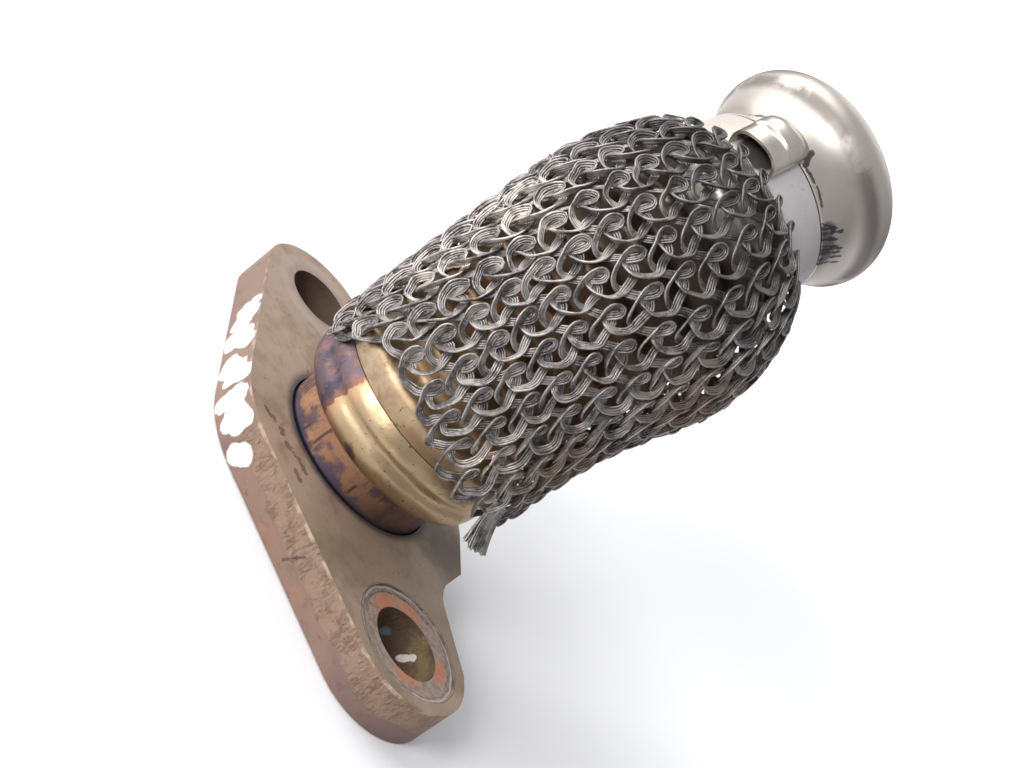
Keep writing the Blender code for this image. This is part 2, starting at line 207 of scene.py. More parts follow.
def face_out(piece: Piece, merge: float = 0.0) -> None:
    """Turn every face of a piece outwards.

    Args:
        piece: A piece whose faces may point either way.
        merge: Reach within which doubled points are merged first, if any.
    """
    pick(piece)
    bpy.ops.object.mode_set(mode="EDIT")
    bpy.ops.mesh.select_all(action="SELECT")
    if merge > 0.0:
        bpy.ops.mesh.remove_doubles(threshold=merge)
    bpy.ops.mesh.normals_make_consistent(inside=False)
    bpy.ops.object.mode_set(mode="OBJECT")


def lathe(name: str, profile: list[Point2], segments: int) -> Piece:
    """Model a turned piece: draw its closed section point by point, then spin it round the upright axis.

    Args:
        name: Name of the finished piece.
        profile: Closed section as (height, radius) points in millimetres.
        segments: Facets round the piece.

    Returns:
        The new object, still in straight millimetres.
    """
    deselect()
    height, radius = profile[0]
    bpy.ops.mesh.primitive_plane_add(size=1.0, location=(radius, 0.0, height))
    piece = bpy.context.object
    bpy.ops.object.mode_set(mode="EDIT")
    bpy.ops.mesh.select_mode(type="VERT")
    bpy.ops.mesh.select_all(action="SELECT")
    bpy.ops.mesh.merge(type="CENTER")
    last = profile[0]
    for point in profile[1:]:
        step = (point[1] - last[1], 0.0, point[0] - last[0])
        bpy.ops.mesh.extrude_vertices_move(TRANSFORM_OT_translate={"value": step})
        last = point
    bpy.ops.mesh.select_all(action="SELECT")
    bpy.ops.mesh.edge_face_add()
    bpy.ops.mesh.delete(type="ONLY_FACE")
    bpy.ops.mesh.select_all(action="SELECT")
    bpy.ops.mesh.spin(steps=segments, angle=math.tau, center=(0.0, 0.0, 0.0), axis=(0.0, 0.0, 1.0))
    bpy.ops.object.mode_set(mode="OBJECT")
    settle(piece, name)
    face_out(piece, DOUBLED)
    return piece


def arc(centre: Point2, radius: float, start: float, end: float, steps: int) -> list[Point2]:
    """Points of a flat arc, both ends included.

    Args:
        centre: Middle of the arc.
        radius: Its radius.
        start: Angle of the first point, in degrees.
        end: Angle of the last point, in degrees.
        steps: Steps between them.

    Returns:
        The arc's points.
    """
    points = []
    for step in range(steps + 1):
        angle = math.radians(start + (end - start) * step / steps)
        points.append((centre[0] + radius * math.cos(angle), centre[1] + radius * math.sin(angle)))
    return points


def walled(outer: list[Point2], wall: float) -> list[Point2]:
    """Close an outer line of (height, radius) points with one a wall further in."""
    return outer + [(height, radius - wall) for height, radius in reversed(outer)]


def upright_cylinder(radius: float, low: float, high: float, x: float = 0.0, sides: int = 128) -> Piece:
    """Add an upright cylinder, in millimetres.

    Args:
        radius: Its radius.
        low: Height of its foot.
        high: Height of its top.
        x: Place of its axis along X, on the plate's middle line.
        sides: Facets round it.

    Returns:
        The new object.
    """
    deselect()
    middle = (x, 0.0, (low + high) / 2.0)
    bpy.ops.mesh.primitive_cylinder_add(vertices=sides, radius=radius, depth=high - low, location=middle)
    return bpy.context.object


def subtract(piece: Piece, cutter: Piece) -> None:
    """Cut one object out of another.

    Args:
        piece: The piece to cut.
        cutter: The tool, which is removed afterwards.
    """
    modifier = piece.modifiers.new("cut", "BOOLEAN")
    modifier.operation = "DIFFERENCE"
    modifier.solver = "EXACT"
    modifier.object = cutter
    finish_modifiers(piece)
    bpy.data.objects.remove(cutter, do_unlink=True)


# Shader graphs


class Graph:
    """A small helper that adds and links shader nodes in one tree."""

    def __init__(self, tree: NodeTree) -> None:
        """Keep the tree that nodes go into."""
        self.tree = tree

    def node(self, kind: str, **values: object) -> bpy.types.Node:
        """Add a node and set its properties.

        Args:
            kind: The node's type name.
            values: Properties of the node by name.

        Returns:
            The new node.
        """
        made = self.tree.nodes.new(kind)
        for key, value in values.items():
            setattr(made, key, value)
        return made

    def feed(self, socket: Socket, value: object) -> None:
        """Link a socket to another one, or set its value.

        Args:
            socket: The input socket.
            value: Another socket, a number, a vector or a colour.
        """
        if isinstance(value, Socket):
            self.tree.links.new(value, socket)
        elif isinstance(value, tuple) and len(value) == 3 and socket.type == "RGBA":
            socket.default_value = (*value, 1.0)
        else:
            socket.default_value = value

    def maths(self, operation: str, first: object, second: object = 0.0) -> Socket:
        """Combine two numbers.

        Args:
            operation: Blender's name of the operation.
            first: A number or a socket.
            second: A number or a socket.

        Returns:
            The result.
        """
        made = self.node("ShaderNodeMath", operation=operation)
        self.feed(made.inputs[0], first)
        self.feed(made.inputs[1], second)
        return made.outputs[0]

    def times(self, first: object, second: object) -> Socket:
        """Multiply two numbers or masks."""
        return self.maths("MULTIPLY", first, second)

    def most(self, masks: list[Socket]) -> Socket:
        """Join masks of places that may overlap.

        Args:
            masks: At least one mask.

        Returns:
            The largest of the masks at each place.
        """
        joined = masks[0]
        for mask in masks[1:]:
            joined = self.maths("MAXIMUM", joined, mask)
        return joined

    def off(self, value: object, level: float) -> Socket:
        """Distance of a number from a level."""
        return self.maths("ABSOLUTE", self.maths("SUBTRACT", value, level))

    def split(self, vector: Socket) -> bpy.types.NodeOutputs:
        """Take a vector apart.

        Args:
            vector: The vector.

        Returns:
            Outputs with its X, Y and Z.
        """
        apart = self.node("ShaderNodeSeparateXYZ")
        self.feed(apart.inputs[0], vector)
        return apart.outputs

    def vectors(self, operation: str, first: object, second: object) -> bpy.types.NodeOutputs:
        """Combine two vectors.

        Args:
            operation: Blender's name of the operation.
            first: A vector or a socket.
            second: A vector or a socket.

        Returns:
            Outputs with the result, as a Vector or a Value.
        """
        made = self.node("ShaderNodeVectorMath", operation=operation)
        self.feed(made.inputs[0], first)
        self.feed(made.inputs[1], second)
        return made.outputs

    def noise(self, vector: object, scale: object, detail: float = 2.0) -> Socket:
        """Plain noise from 0 to 1.

        Args:
            vector: Object coordinates.
            scale: Waves to the metre.
            detail: How many finer layers lie in it.

        Returns:
            The noise.
        """
        grain = self.node("ShaderNodeTexNoise")
        self.feed(grain.inputs["Vector"], vector)
        self.feed(grain.inputs["Scale"], scale)
        self.feed(grain.inputs["Detail"], detail)
        return grain.outputs["Fac"]

    def waver(self, vector: object, scale: float, reach: object, detail: float = 5.0) -> Socket:
        """Noise round 0 that moves an edge by up to half its reach.

        Args:
            vector: Object coordinates.
            scale: Waves to the metre.
            reach: Full reach of the noise, in metres.
            detail: How many finer layers lie in it.

        Returns:
            The shift of the edge, in metres.
        """
        return self.times(self.maths("SUBTRACT", self.noise(vector, scale, detail), 0.5), reach)

    def ramp(self, value: object, low: object, high: object, start: float = 0.0, end: float = 1.0) -> Socket:
        """Map a range of values smoothly onto another one.

        Args:
            value: A number or a socket.
            low: Where the range starts.
            high: Where it ends.
            start: Result at and below its start.
            end: Result at and above its end.

        Returns:
            The mapped value.
        """
        made = self.node("ShaderNodeMapRange", interpolation_type="SMOOTHSTEP")
        values = (("Value", value), ("From Min", low), ("From Max", high), ("To Min", start), ("To Max", end))
        for name, item in values:
            self.feed(made.inputs[name], item)
        return made.outputs["Result"]

    def blend(self, share: object, first: object, second: object) -> Socket:
        """Mix two colours by a mask.

        Args:
            share: The mask, 1 where the second colour shows.
            first: Colour below.
            second: Colour above.

        Returns:
            The mixed colour.
        """
        made = self.node("ShaderNodeMix", data_type="RGBA")
        self.feed(made.inputs["Factor"], share)
        self.feed(made.inputs["A"], first)
        self.feed(made.inputs["B"], second)
        return next(item for item in made.outputs if item.type == "RGBA")

    def patchy(self, vector: object, scale: float, low: float, high: float, detail: float = 4.0) -> Socket:
        """A mask of soft patches: noise cut between two levels.

        Args:
            vector: Object coordinates.
            scale: Waves to the metre.
            low: Noise level where the patches start.
            high: Noise level where they are full.
            detail: How many finer layers lie in the noise.

        Returns:
            The mask, 1 inside.
        """
        group = self.node("ShaderNodeGroup", node_tree=patch_group())
        values = (("Vector", vector), ("Scale", scale), ("Low", low), ("High", high), ("Detail", detail))
        for name, value in values:
            self.feed(group.inputs[name], value)
        return group.outputs["Mask"]

    def spot(self, vector: object, centre: Vector, radius: float, ragged: float, soft: float) -> Socket:
        """A mask of one ragged round spot at a place on the part.

        Args:
            vector: Object coordinates.
            centre: Middle of the spot in metres.
            radius: Its radius in metres.
            ragged: How far noise moves its edge, in metres.
            soft: Width of its edge as a share of the radius.

        Returns:
            The mask, 1 inside.
        """
        group = self.node("ShaderNodeGroup", node_tree=spot_group())
        values = (("Vector", vector), ("Centre", centre), ("Radius", radius), ("Ragged", ragged))
        for name, value in (*values, ("Softness", soft)):
            self.feed(group.inputs[name], value)
        return group.outputs["Mask"]

    def stroke(self, vector: object, ends: Line, radius: float, ragged: float) -> Socket:
        """A mask of one ragged brush stroke between two places on the part.

        Args:
            vector: Object coordinates.
            ends: Both ends of the stroke in metres.
            radius: Half its width in metres.
            ragged: How far noise moves its edge, in metres.

        Returns:
            The mask, 1 inside.
        """
        group = self.node("ShaderNodeGroup", node_tree=stroke_group())
        values = (("Vector", vector), ("Start", ends[0]), ("Reach", ends[1] - ends[0]), ("Radius", radius))
        for name, value in (*values, ("Ragged", ragged)):
            self.feed(group.inputs[name], value)
        return group.outputs["Mask"]

    def marks(self, vector: object, strokes: list[Line], radius: float, ragged: float) -> Socket:
        """One mask of several strokes, all of one width.

        Args:
            vector: Object coordinates.
            strokes: Both ends of each stroke in metres.
            radius: Half their width in metres.
            ragged: How far noise moves their edges, in metres.

        Returns:
            The mask, 1 inside.
        """
        return self.most([self.stroke(vector, ends, radius, ragged) for ends in strokes])


def new_group(name: str, takes: list[tuple[str, str, float]], gives: str) -> tuple[NodeTree, Graph]:
    """Start a shader node group.

    Args:
        name: Name of the group.
        takes: Inputs as (name, socket kind, default value).
        gives: Name of its value output.

    Returns:
        The group's tree and a graph to fill it.
    """
    tree = bpy.data.node_groups.new(name, "ShaderNodeTree")
    for label, kind, default in takes:
        socket = tree.interface.new_socket(name=label, in_out="INPUT", socket_type=kind)
        if kind == NUMBER:
            socket.default_value = default
    tree.interface.new_socket(name=gives, in_out="OUTPUT", socket_type=NUMBER)
    return tree, Graph(tree)


def patch_group() -> NodeTree:
    """Group that turns noise into soft patches; made once.

    Returns:
        The group.
    """
    name = "soft_patches"
    if name in bpy.data.node_groups:
        return bpy.data.node_groups[name]
    takes = [("Vector", ARROW, 0.0), ("Scale", NUMBER, 300.0), ("Low", NUMBER, 0.45)]
    takes += [("High", NUMBER, 0.6), ("Detail", NUMBER, 4.0)]
    tree, graph = new_group(name, takes, "Mask")
    start = graph.node("NodeGroupInput")
    grain = graph.node("ShaderNodeTexNoise")
    for label in ("Vector", "Scale", "Detail"):
        graph.feed(grain.inputs[label], start.outputs[label])
    grain.inputs["Roughness"].default_value = 0.6
    mask = graph.ramp(grain.outputs["Fac"], start.outputs["Low"], start.outputs["High"])
    graph.feed(graph.node("NodeGroupOutput").inputs["Mask"], mask)
    return tree


def spot_group() -> NodeTree:
    """Group that marks one ragged round spot; made once.

    Returns:
        The group.
    """
    name = "ragged_spot"
    if name in bpy.data.node_groups:
        return bpy.data.node_groups[name]
    takes = [("Vector", ARROW, 0.0), ("Centre", ARROW, 0.0), ("Radius", NUMBER, 0.003)]
    takes += [("Ragged", NUMBER, 0.001), ("Softness", NUMBER, 0.3)]
    tree, graph = new_group(name, takes, "Mask")
    start = graph.node("NodeGroupInput")
    apart = graph.vectors("DISTANCE", start.outputs["Vector"], start.outputs["Centre"])["Value"]
    moved = graph.maths("ADD", graph.waver(start.outputs["Vector"], 420.0, start.outputs["Ragged"]), apart)
    share = graph.maths("DIVIDE", moved, start.outputs["Radius"])
    inner = graph.maths("SUBTRACT", 1.0, start.outputs["Softness"])
    mask = graph.ramp(share, inner, 1.0, 1.0, 0.0)
    graph.feed(graph.node("NodeGroupOutput").inputs["Mask"], mask)
    return tree


def stroke_group() -> NodeTree:
    """Group that marks one ragged stroke; made once.

    Returns:
        The group.
    """
    name = "ragged_stroke"
    if name in bpy.data.node_groups:
        return bpy.data.node_groups[name]
    takes = [("Vector", ARROW, 0.0), ("Start", ARROW, 0.0), ("Reach", ARROW, 0.0)]
    takes += [("Radius", NUMBER, 0.001), ("Ragged", NUMBER, 0.001)]
    tree, graph = new_group(name, takes, "Mask")
    start = graph.node("NodeGroupInput")
    reach = start.outputs["Reach"]
    away = graph.vectors("SUBTRACT", start.outputs["Vector"], start.outputs["Start"])["Vector"]
    along = graph.vectors("DOT_PRODUCT", away, reach)["Value"]
    share = graph.maths("DIVIDE", along, graph.vectors("DOT_PRODUCT", reach, reach)["Value"])
    share = graph.maths("MINIMUM", graph.maths("MAXIMUM", share, 0.0), 1.0)
    nearest = graph.node("ShaderNodeVectorMath", operation="SCALE")
    graph.feed(nearest.inputs[0], reach)
    graph.feed(nearest.inputs["Scale"], share)
    apart = graph.vectors("DISTANCE", away, nearest.outputs["Vector"])["Value"]
    moved = graph.maths("ADD", graph.waver(start.outputs["Vector"], 900.0, start.outputs["Ragged"]), apart)
    mask = graph.ramp(graph.maths("DIVIDE", moved, start.outputs["Radius"]), 0.8, 1.0, 1.0, 0.0)
    graph.feed(graph.node("NodeGroupOutput").inputs["Mask"], mask)
    return tree


def grain_group() -> NodeTree:
    """Group that gives a fine uneven surface height from two noises; made once.

    Returns:
        The group.
    """
    name = "worn_grain"
    if name in bpy.data.node_groups:
        return bpy.data.node_groups[name]
    takes = [("Vector", ARROW, 0.0), ("Fine", NUMBER, 2500.0), ("Coarse", NUMBER, 400.0)]
    tree, graph = new_group(name, takes, "Height")
    start = graph.node("NodeGroupInput")
    fine = graph.noise(start.outputs["Vector"], start.outputs["Fine"], 6.0)
    coarse = graph.noise(start.outputs["Vector"], start.outputs["Coarse"], 6.0)
    total = graph.maths("ADD", fine, coarse)
    graph.feed(graph.node("NodeGroupOutput").inputs["Height"], graph.times(total, 0.5))
    return tree


@dataclass
class Steel:
    """One steel finish: a Principled shader, worn grain and the patches that its piece adds."""

    name: str
    colour: Colour
    roughness: float
    metallic: float
    bump: float = 0.15
    fine: float = 2500.0
    coarse: float = 400.0
    material: bpy.types.Material = field(init=False)
    graph: Graph = field(init=False)
    place: Socket = field(init=False)
    shade: object = field(init=False)
    rough: object = field(init=False)
    metal: object = field(init=False)

    def __post_init__(self) -> None:
        """Start the material and read its object coordinates."""
        self.material = bpy.data.materials.new(self.name)
        self.material.use_nodes = True
        self.graph = Graph(self.material.node_tree)
        self.place = self.graph.node("ShaderNodeTexCoord").outputs["Object"]
        self.shade = self.colour
        self.rough = self.roughness
        self.metal = self.metallic

    def paint(self, mask: object, colour: Colour, amount: float = 1.0) -> None:
        """Lay another colour over the finish.

        Args:
            mask: Where it goes.
            colour: The colour.
            amount: How much it covers there, from 0 to 1.
        """
        share = mask if amount == 1.0 else self.graph.times(mask, amount)
        self.shade = self.graph.blend(share, self.shade, colour)

    def roughen(self, mask: object, change: float) -> None:
        """Make the finish rougher in places.

        Args:
            mask: Where it changes.
            change: How much rougher it gets.
        """
        share = self.graph.times(mask, change)
        self.rough = self.graph.maths("ADD", share, self.rough)

    def unmetal(self, mask: object) -> None:
        """Make the finish less metallic where the mask is."""
        rest = self.graph.maths("SUBTRACT", 1.0, mask)
        self.metal = self.graph.times(rest, self.metal)

    def close(self, extra_height: object = None, extra_depth: float = 0.0) -> bpy.types.Material:
        """Link all layers to the shader.

        Args:
            extra_height: A further height for the bump, if any.
            extra_depth: How strong that further height is, in metres.

        Returns:
            The finished material.
        """
        shader = self.material.node_tree.nodes["Principled BSDF"]
        self.graph.feed(shader.inputs["Base Color"], self.shade)
        self.graph.feed(shader.inputs["Roughness"], self.rough)
        self.graph.feed(shader.inputs["Metallic"], self.metal)
        grain = self.graph.node("ShaderNodeGroup", node_tree=grain_group())
        self.graph.feed(grain.inputs["Vector"], self.place)
        grain.inputs["Fine"].default_value = self.fine
        grain.inputs["Coarse"].default_value = self.coarse
        bump = self.graph.node("ShaderNodeBump")
        bump.inputs["Strength"].default_value = self.bump
        bump.inputs["Distance"].default_value = 0.2 * MM
        self.graph.feed(bump.inputs["Height"], grain.outputs["Height"])
        normal = bump.outputs["Normal"]
        if extra_height is not None:
            second = self.graph.node("ShaderNodeBump")
            second.inputs["Strength"].default_value = 1.0
            second.inputs["Distance"].default_value = extra_depth
            self.graph.feed(second.inputs["Height"], extra_height)
            self.graph.feed(second.inputs["Normal"], normal)
            normal = second.outputs["Normal"]
        self.graph.feed(shader.inputs["Normal"], normal)
        return self.material


def dress(piece: Piece, material: bpy.types.Material) -> None:
    """Give a piece one material.

    Args:
        piece: A finished piece.
        material: Its material.
    """
    piece.data.materials.clear()
    piece.data.materials.append(material)


def stand_for(piece: Piece, node: str) -> None:
    """Let a finished piece ride on the part in place of a CAD node.

    Args:
        piece: A finished piece.
        node: Name of the node that it replaces.
    """
    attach(piece, "root")
    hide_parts(node)
    LOG.info("%s: %d faces, in place of %s", piece.name, len(piece.data.polygons), node)


# Plate


@dataclass
class Plate:
    """Half-diamond plate with two bolt holes, a bore for the neck and a relief beside the ear on +X."""

    line: HoseLine
    thickness: float = 6.9
    bolt_spacing: float = 62.0
    hole_radius: float = 5.3
    waist_radius: float = 20.6
    ear_radius: float = 10.36
    bore_radius: float = 13.05
    edge_round: float = 0.5
    ring_radius: float = 8.5
    ring_depth: float = 0.3
    ring_step: float = 0.9
    relief_length: float = 9.0
    relief_fillet: float = 6.0
    relief_slope: float = 52.0
    relief_overrun: float = 3.0
    relief_reach: float = 14.0
    tool_clearance: float = 2.0

    def hole(self, side: Side) -> Vector:
        """Middle of a bolt hole at the plate's foot, in metres."""
        out = side.value * self.bolt_spacing / 2.0 * MM
        return Vector((self.line.origin.x + out, self.line.origin.y, 0.0))

    def blank(self) -> Piece:
        """Wrap three upright cylinders, for the waist and both ears, in one hull.

        Returns:
            The plain half-diamond plate with its foot at height 0, in millimetres.
        """
        half = self.bolt_spacing / 2.0
        discs = [upright_cylinder(self.waist_radius, 0.0, self.thickness, sides=192)]
        for side in Side:
            discs.append(upright_cylinder(self.ear_radius, 0.0, self.thickness, side.value * half))
        deselect()
        for disc in discs:
            disc.select_set(True)
        bpy.context.view_layer.objects.active = discs[0]
        bpy.ops.object.join()
        plate = bpy.context.object
        bpy.ops.object.mode_set(mode="EDIT")
        bpy.ops.mesh.select_all(action="SELECT")
        bpy.ops.mesh.convex_hull()
        bpy.ops.mesh.select_all(action="SELECT")
        bpy.ops.mesh.dissolve_limited(angle_limit=math.radians(0.5))
        bpy.ops.object.mode_set(mode="OBJECT")
        return settle(plate, "plate")

    def relief_cutter(self) -> Piece:
        """Model the tool that cuts the relief: a block with one leaning side and a rounded inner edge.

        Returns:
            The cutter, in millimetres.
        """
        deselect()
        half = self.bolt_spacing / 2.0
        slope = math.radians(self.relief_slope)
        tangent = self.relief_fillet * math.tan(slope / 2.0)
        inner = half - self.relief_length - tangent
        reach = self.relief_reach
        length = half + self.relief_overrun - inner
        middle = (inner + length / 2.0, self.ear_radius + reach / 2.0, self.thickness / 2.0)
        sizes = (length, reach, 3.0 * self.thickness)
        bpy.ops.mesh.primitive_cube_add(size=1.0, location=middle, scale=sizes)
        cutter = bpy.context.object
        settle(cutter, "relief_cutter")
        for vertex in cutter.data.vertices:
            if vertex.co.x < middle[0] and vertex.co.y > middle[1]:
                vertex.co.x -= reach / math.tan(slope)
        pick(cutter)
        bpy.ops.object.mode_set(mode="EDIT")
        bpy.ops.mesh.select_mode(type="EDGE")
        bpy.ops.mesh.select_all(action="DESELECT")
        bpy.ops.object.mode_set(mode="OBJECT")
        for edge in cutter.data.edges:
            ends = [cutter.data.vertices[index].co for index in edge.vertices]
            edge.select = all(abs(end.x - inner) < 0.01 and end.y < middle[1] for end in ends)
        bpy.ops.object.mode_set(mode="EDIT")
        bpy.ops.mesh.bevel(offset=tangent, segments=12, affect="EDGES")
        bpy.ops.object.mode_set(mode="OBJECT")
        return cutter

    def build(self) -> Piece:
        """Cut the relief, bore, holes and worn rings, then round the edges.

        Returns:
            The finished plate in its place.
        """
        half = self.bolt_spacing / 2.0
        below, above = -self.tool_clearance, self.thickness + self.tool_clearance
        plate = self.blank()
        subtract(plate, self.relief_cutter())
        subtract(plate, upright_cylinder(self.bore_radius, below, above))
        for side in Side:
            subtract(plate, upright_cylinder(self.hole_radius, below, above, side.value * half, 96))
        ring = (self.ring_radius, self.ring_depth)
        for radius, depth in (ring, (self.ring_radius - self.ring_step, 1.5 * self.ring_depth)):
            floor = self.thickness - depth
            subtract(plate, upright_cylinder(radius, floor, above, Side.RIGHT.value * half, 96))
        rounding = plate.modifiers.new("edges", "BEVEL")
        rounding.width = self.edge_round
        rounding.segments = 3
        rounding.limit_method = "ANGLE"
        rounding.angle_limit = math.radians(50.0)
        rounding.use_clamp_overlap = True
        weighting = plate.modifiers.new("flats", "WEIGHTED_NORMAL")
        weighting.keep_sharp = True
        smooth(plate, 35.0)
        finish_modifiers(plate)
        shift = Vector((self.line.origin.x, self.line.origin.y, 0.0))
        for vertex in plate.data.vertices:
            vertex.co = vertex.co * MM + shift
        return settle(plate, "worn_plate")

    def dress(self, plate: Piece) -> None:
        """Give the plate its brown heat tint, broken edge band, scars, worn rings, paint daubs and a pale
        worn edge that is partly a painted highlight.

        Args:
            plate: The finished plate.
        """
        steel = Steel("plate_steel", srgb(166, 146, 129), 0.55, 0.25, bump=0.35, fine=3000.0, coarse=700.0)
        graph = steel.graph
        faces = graph.node("ShaderNodeNewGeometry")
        upward = graph.maths("ABSOLUTE", graph.split(faces.outputs["Normal"])["Z"])
        side = graph.ramp(upward, 0.5, 0.9, 1.0, 0.0)
        cloudy = self.dress_face(steel, upward)
        torn = self.dress_side(steel, side)
        scars = self.dress_scars(steel, cloudy)
        self.dress_rings(steel)
        self.daub(steel, side)
        # Pale band along the bevel between face and side: a worn edge, partly a painted highlight.
        rim = graph.times(graph.ramp(upward, 0.25, 0.6), graph.ramp(upward, 0.8, 0.97, 1.0, 0.0))
        rim = graph.times(rim, graph.patchy(steel.place, 500.0, 0.35, 0.6))
        steel.paint(rim, srgb(214, 192, 172), 0.6)
        dress(plate, steel.close(graph.maths("SUBTRACT", torn, scars), 0.14 * MM))

    def dress_face(self, steel: Steel, upward: Socket) -> Socket:
        """Cloud the face in browns, darker towards +X, with a painted shadow under the cuff.

        Args:
            steel: The plate's finish.
            upward: How far the surface faces up or down.

        Returns:
            The mask of the wide clouds.
        """
        graph, place = steel.graph, steel.place
        cloudy = graph.patchy(place, 90.0, 0.38, 0.66)
        steel.paint(cloudy, srgb(156, 134, 116), 0.8)
        steel.paint(graph.patchy(place, 45.0, 0.5, 0.7, 2.0), srgb(182, 160, 142), 0.7)
        steel.paint(graph.patchy(place, 900.0, 0.56, 0.72), srgb(128, 106, 90), 0.5)
        steel.paint(graph.patchy(place, 210.0, 0.54, 0.68, 6.0), srgb(134, 112, 94), 0.55)
        shady = graph.ramp(graph.split(place)["X"], 0.002, 0.024)
        steel.paint(graph.times(shady, graph.patchy(place, 60.0, 0.3, 0.7, 2.0)), srgb(128, 112, 94), 0.8)
        steel.paint(graph.patchy(place, 240.0, 0.5, 0.66, 6.0), srgb(116, 97, 80), 0.4)
        steel.paint(graph.patchy(place, 170.0, 0.54, 0.7, 6.0), srgb(172, 150, 130), 0.4)
        # Painted shadow: a soft dark spot on the face under the cuff, where the cuff's shadow falls.
        under_cuff = self.line.origin + Vector((11.0, 15.0, 0.0)) * MM
        painted_cuff_shadow = graph.spot(place, under_cuff, 9.5 * MM, 5.0 * MM, 0.75)
        steel.paint(graph.times(painted_cuff_shadow, graph.ramp(upward, 0.9, 0.97)), srgb(80, 68, 62), 0.8)
        return cloudy

    def dress_side(self, steel: Steel, side: Socket) -> Socket:
        """Dress the side edge: smooth and reddish below, broken and crumbly in its upper band, with a painted
        highlight along its top.

        Args:
            steel: The plate's finish.
            side: Mask of the side edge.

        Returns:
            Height of the crumbs in the broken band.
        """
        graph, place = steel.graph, steel.place
        axes = graph.split(place)
        steel.paint(side, srgb(138, 111, 97), 0.9)
        rusty = graph.patchy(place, 150.0, 0.5, 0.66)
        steel.paint(graph.times(rusty, side), srgb(154, 116, 94), 0.6)
        mauve = graph.patchy(place, 70.0, 0.46, 0.64, 2.0)
        steel.paint(graph.times(mauve, side), srgb(118, 96, 96), 0.65)
        smudge = graph.patchy(place, 520.0, 0.52, 0.68, 6.0)
        steel.paint(graph.times(smudge, side), srgb(108, 84, 74), 0.5)
        ragged = graph.waver(place, 260.0, 4.0 * MM, 6.0)
        broken = graph.ramp(graph.maths("ADD", axes["Z"], ragged), 0.0026, 0.0031)
        broken = graph.times(broken, graph.ramp(axes["X"], 0.001, 0.006))
        band = graph.times(side, broken)
        steel.paint(band, srgb(152, 125, 104), 0.75)
        drawn = graph.vectors("MULTIPLY", place, (1.0, 1.0, 0.35))["Vector"]
        crumbs = graph.patchy(drawn, 2600.0, 0.42, 0.66, 8.0)
        crumbs = graph.times(crumbs, graph.patchy(place, 380.0, 0.36, 0.62, 5.0))
        crumbs = graph.times(crumbs, band)
        steel.paint(crumbs, srgb(112, 88, 74), 0.7)
        scale = graph.patchy(drawn, 1900.0, 0.56, 0.74, 6.0)
        steel.paint(graph.times(scale, band), srgb(192, 168, 142), 0.4)
        # Painted highlight: a pale line along the top of the side edge.
        level = graph.maths("ADD", axes["Z"], graph.times(ragged, 0.25))
        lip = graph.times(graph.ramp(level, 0.0063, 0.0065), side)
        steel.paint(graph.times(lip, graph.patchy(place, 420.0, 0.46, 0.6)), srgb(200, 178, 154), 0.6)
        return crumbs

    def dress_scars(self, steel: Steel, cloudy: Socket) -> Socket:
        """Add dark specks, gouges beside the neck, one crack in the side and a dark ring round the neck.

        Args:
            steel: The plate's finish.
            cloudy: Mask of the clouds that hold the specks.

        Returns:
            The mask of the gouges.
        """
        graph, place = steel.graph, steel.place
        specks = graph.times(graph.patchy(place, 650.0, 0.64, 0.7), cloudy)
        steel.paint(specks, srgb(92, 66, 50), 0.75)
        gouges = graph.marks(place, self.gouges(), 0.42 * MM, 2.4 * MM)
        steel.paint(gouges, srgb(104, 78, 62), 0.75)
        crack = self.edge_point(20.4, 1.6), self.edge_point(21.8, 4.6)
        steel.paint(graph.stroke(place, crack, 0.2 * MM, 0.9 * MM), srgb(84, 62, 54), 0.8)
        # A dark ring on the face round the foot of the neck.
        from_neck = self.from_axis(graph, place, self.line.origin)
        steel.paint(graph.ramp(from_neck, 0.0131, 0.0146, 1.0, 0.0), srgb(58, 52, 62), 0.85)
        return gouges

    def edge_point(self, x: float, z: float) -> Vector:
        """A place on the plate's edge on its -Y side.

        Args:
            x: Distance from the neck along X, in millimetres.
            z: Height in millimetres.

        Returns:
            The place in the part's frame, in metres.
        """
        half = self.bolt_spacing / 2.0
        lean = math.asin((self.waist_radius - self.ear_radius) / half)
        corner = self.waist_radius * math.sin(lean)
        out = math.sqrt(max(self.waist_radius**2 - x * x, 0.0))
        if abs(x) > corner:
            out = self.waist_radius * math.cos(lean) - (abs(x) - corner) * math.tan(lean)
        return Vector((self.line.origin.x + x * MM, self.line.origin.y - out * MM, z * MM))

    def gouges(self) -> list[Line]:
        """Short scars in the face between the neck and the -Y edge.

        Returns:
            Both ends of each scar, in metres.
        """
        dice = random.Random(3)
        scars = []
        places = ((0.4, -18.6), (1.8, -17.6), (3.4, -16.2), (5.8, -15.8), (6.6, -14.7))
        for x, y in (*places, (9.8, -15.0), (8.2, -13.6)):
            middle = self.line.origin + Vector((x, y, 0.0)) * MM
            reach = Vector((dice.uniform(0.2, 1.4), dice.uniform(-0.3, 1.0), 0.0)) * MM
            scars.append((middle, middle + reach))
        return scars

    def from_axis(self, graph: Graph, place: Socket, axis: Vector) -> Socket:
        """Distance of the surface from an upright axis.

        Args:
            graph: The material's graph.
            place: Object coordinates.
            axis: Any point of the axis, in metres.

        Returns:
            The distance in metres.
        """
        flat = graph.vectors("MULTIPLY", place, (1.0, 1.0, 0.0))["Vector"]
        return graph.vectors("DISTANCE", flat, (axis.x, axis.y, 0.0))["Value"]

